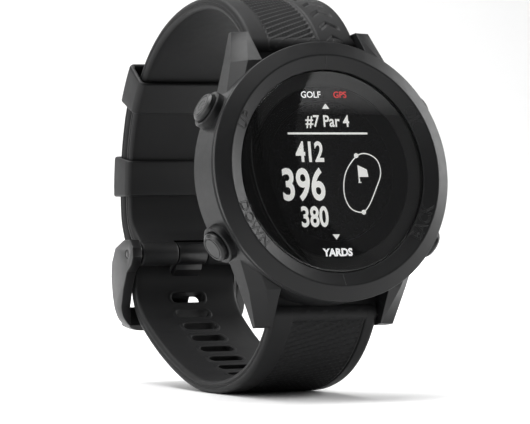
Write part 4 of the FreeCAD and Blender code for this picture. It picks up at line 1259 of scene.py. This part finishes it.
class WATCH_OT_keepers(bpy.types.Operator):
    """Builds the two loops that hold the strap's tail"""
    bl_idname = "watch.keepers"
    bl_label = "Keepers"

    def execute(self, context):
        make_keeper("free_keeper", 2, 0.66, settings())
        make_keeper("fixed_keeper", 3, 0.55, settings())
        return {"FINISHED"}


class WATCH_OT_buckle(bpy.types.Operator):
    """Builds the buckle's frame and tongue with rounded edges"""
    bl_idname = "watch.buckle"
    bl_label = "Buckle"

    def execute(self, context):
        sizes = settings()
        hoop = soften(bevelled(clean_copy("buckle_frame", "buckle_hoop"), 0.3), 30)
        place_piece(hoop, "buckle", "buckle_metal", sizes, ["buckle_frame"])
        for name, side in (("left", -1), ("right", 1)):
            inner, outer = sorted((side * 11.6, side * 12.27))
            plug = tube("buckle_pin_end_" + name, side_mm(PIN), 0.82, inner, outer, 32)
            place_piece(soften(plug, 40), "buckle", "buckle_metal", sizes)
        prong = soften(bevelled(clean_copy("buckle_tongue", "buckle_prong"), 0.25), 30)
        place_piece(prong, "tongue", "buckle_metal", sizes, ["buckle_tongue"])
        return {"FINISHED"}


# ---------------------------------------------------------------- carried-over nodes

class WATCH_OT_finishes(bpy.types.Operator):
    """Gives every engineering node the finish of its material slot"""
    bl_idname = "watch.finishes"
    bl_label = "Finishes"

    def execute(self, context):
        sizes = settings()
        record = frame["record"]
        slots = {part["node"]: part["material_slot"] for part in record["subparts"]}
        for node, obj in frame["nodes"].items():
            look = finish(slots[node], sizes)
            if not obj.material_slots:
                obj.data.materials.append(look)
            for slot in obj.material_slots:
                slot.material = look
        return {"FINISHED"}


# ---------------------------------------------------------------- studio

# the camera's angles in degrees, its distance in metres and its side steps in millimetres
CAMERA_AZIMUTH = -27.23
CAMERA_HEIGHT = 1.14
CAMERA_DISTANCE = 0.627
CAMERA_ASIDE = 11.38
CAMERA_DROP = -6.83
CAMERA_LENS = 257.3


def aim(obj, place, target):
    obj.location = place
    direction = Vector(target) - Vector(place)
    obj.rotation_euler = direction.to_track_quat("-Z", "Y").to_euler()


def soft_lamp(name, place, target, width, height, power):
    lamp = bpy.data.lights.new(name, "AREA")
    lamp.shape = "RECTANGLE"
    lamp.size = width
    lamp.size_y = height
    lamp.energy = power
    aim(add_object(name, lamp), place, target)


class WATCH_OT_studio(bpy.types.Operator):
    """Builds the floor, the backdrop, the soft lamps and the camera"""
    bl_idname = "watch.studio"
    bl_label = "Studio"

    def execute(self, context):
        sizes = settings()
        half = sizes.floor_size / 2
        profile = [(-half, 0.0), (1.0, 0.0)]
        for i in range(1, 13):
            turn = math.pi / 2 * i / 12
            profile.append((1.0 + 0.5 * math.sin(turn), 0.5 * (1 - math.cos(turn))))
        profile.append((1.5, 2.0))
        points = [(x, y, z) for x in (-half, half) for y, z in profile]
        count = len(profile)
        faces = [(k, count + k, count + k + 1, k + 1) for k in range(count - 1)]
        floor = mesh_object("studio_floor", points, faces)
        floor.data.materials.append(paper("studio_paper", (0.86, 0.86, 0.86)))
        power = sizes.lamp_power
        target = (0.0, 0.0, 0.035)
        soft_lamp("lamp_top", (-0.1, 0.1, 0.9), target, 0.9, 0.7, power)
        soft_lamp("lamp_left", (-0.75, 0.05, 0.35), target, 0.5, 0.7, power * 0.4)
        soft_lamp("lamp_right", (0.8, -0.05, 0.3), target, 0.4, 0.6, power * 0.5)
        soft_lamp("lamp_back", (0.0, 0.45, 0.9), (0.0, 1.5, 0.4), 1.6, 0.6, power * 1.5)
        world = bpy.data.worlds.new("Studio")
        world.use_nodes = True
        world.node_tree.nodes["Background"].inputs["Color"].default_value = (1, 1, 1, 1)
        world.node_tree.nodes["Background"].inputs["Strength"].default_value = 0.12
        context.scene.world = world
        context.scene.view_settings.view_transform = "Standard"
        camera = bpy.data.cameras.new("Camera")
        camera.sensor_width = 36.0
        camera.lens = CAMERA_LENS
        camera.clip_start = 0.01
        camera.clip_end = 20.0
        eye = add_object("Camera", camera)
        azimuth, height = math.radians(CAMERA_AZIMUTH), math.radians(CAMERA_HEIGHT)
        back = Vector((math.sin(azimuth) * math.cos(height),
                       -math.cos(azimuth) * math.cos(height), math.sin(height)))
        sight = DIAL + back * CAMERA_DISTANCE
        across = Vector((math.cos(azimuth), math.sin(azimuth), 0.0))
        sight -= across * CAMERA_ASIDE * MM
        sight += back.cross(across) * CAMERA_DROP * MM
        turn = Matrix((across, back.cross(across), back)).transposed()
        eye.matrix_world = Matrix.Translation(sight) @ turn.to_4x4()
        context.scene.camera = eye
        return {"FINISHED"}


class WATCH_PT_panel(bpy.types.Panel):
    """Lists the watch's pieces and settings"""
    bl_idname = "WATCH_PT_panel"
    bl_label = "Golf Watch"
    bl_space_type = "VIEW_3D"
    bl_region_type = "UI"
    bl_category = "Golf Watch"

    def draw(self, context):
        for name in WatchSettings.__annotations__:
            self.layout.prop(settings(), name)
        for maker in MAKERS:
            self.layout.operator(maker.bl_idname)


MAKERS = (WATCH_OT_finishes, WATCH_OT_head, WATCH_OT_buttons, WATCH_OT_screen,
          WATCH_OT_upper_strap, WATCH_OT_lower_strap, WATCH_OT_keepers, WATCH_OT_buckle,
          WATCH_OT_studio)


def register():
    for kind in (WatchSettings, WATCH_PT_panel) + MAKERS:
        bpy.utils.register_class(kind)
    bpy.types.Scene.watch_settings = PointerProperty(type=WatchSettings)


def unregister():
    del bpy.types.Scene.watch_settings
    for kind in (WatchSettings, WATCH_PT_panel) + MAKERS:
        bpy.utils.unregister_class(kind)


def main():
    register()
    for maker in MAKERS:
        group, name = maker.bl_idname.split(".")
        getattr(getattr(bpy.ops, group), name)()


if __name__ == "__main__":
    main()
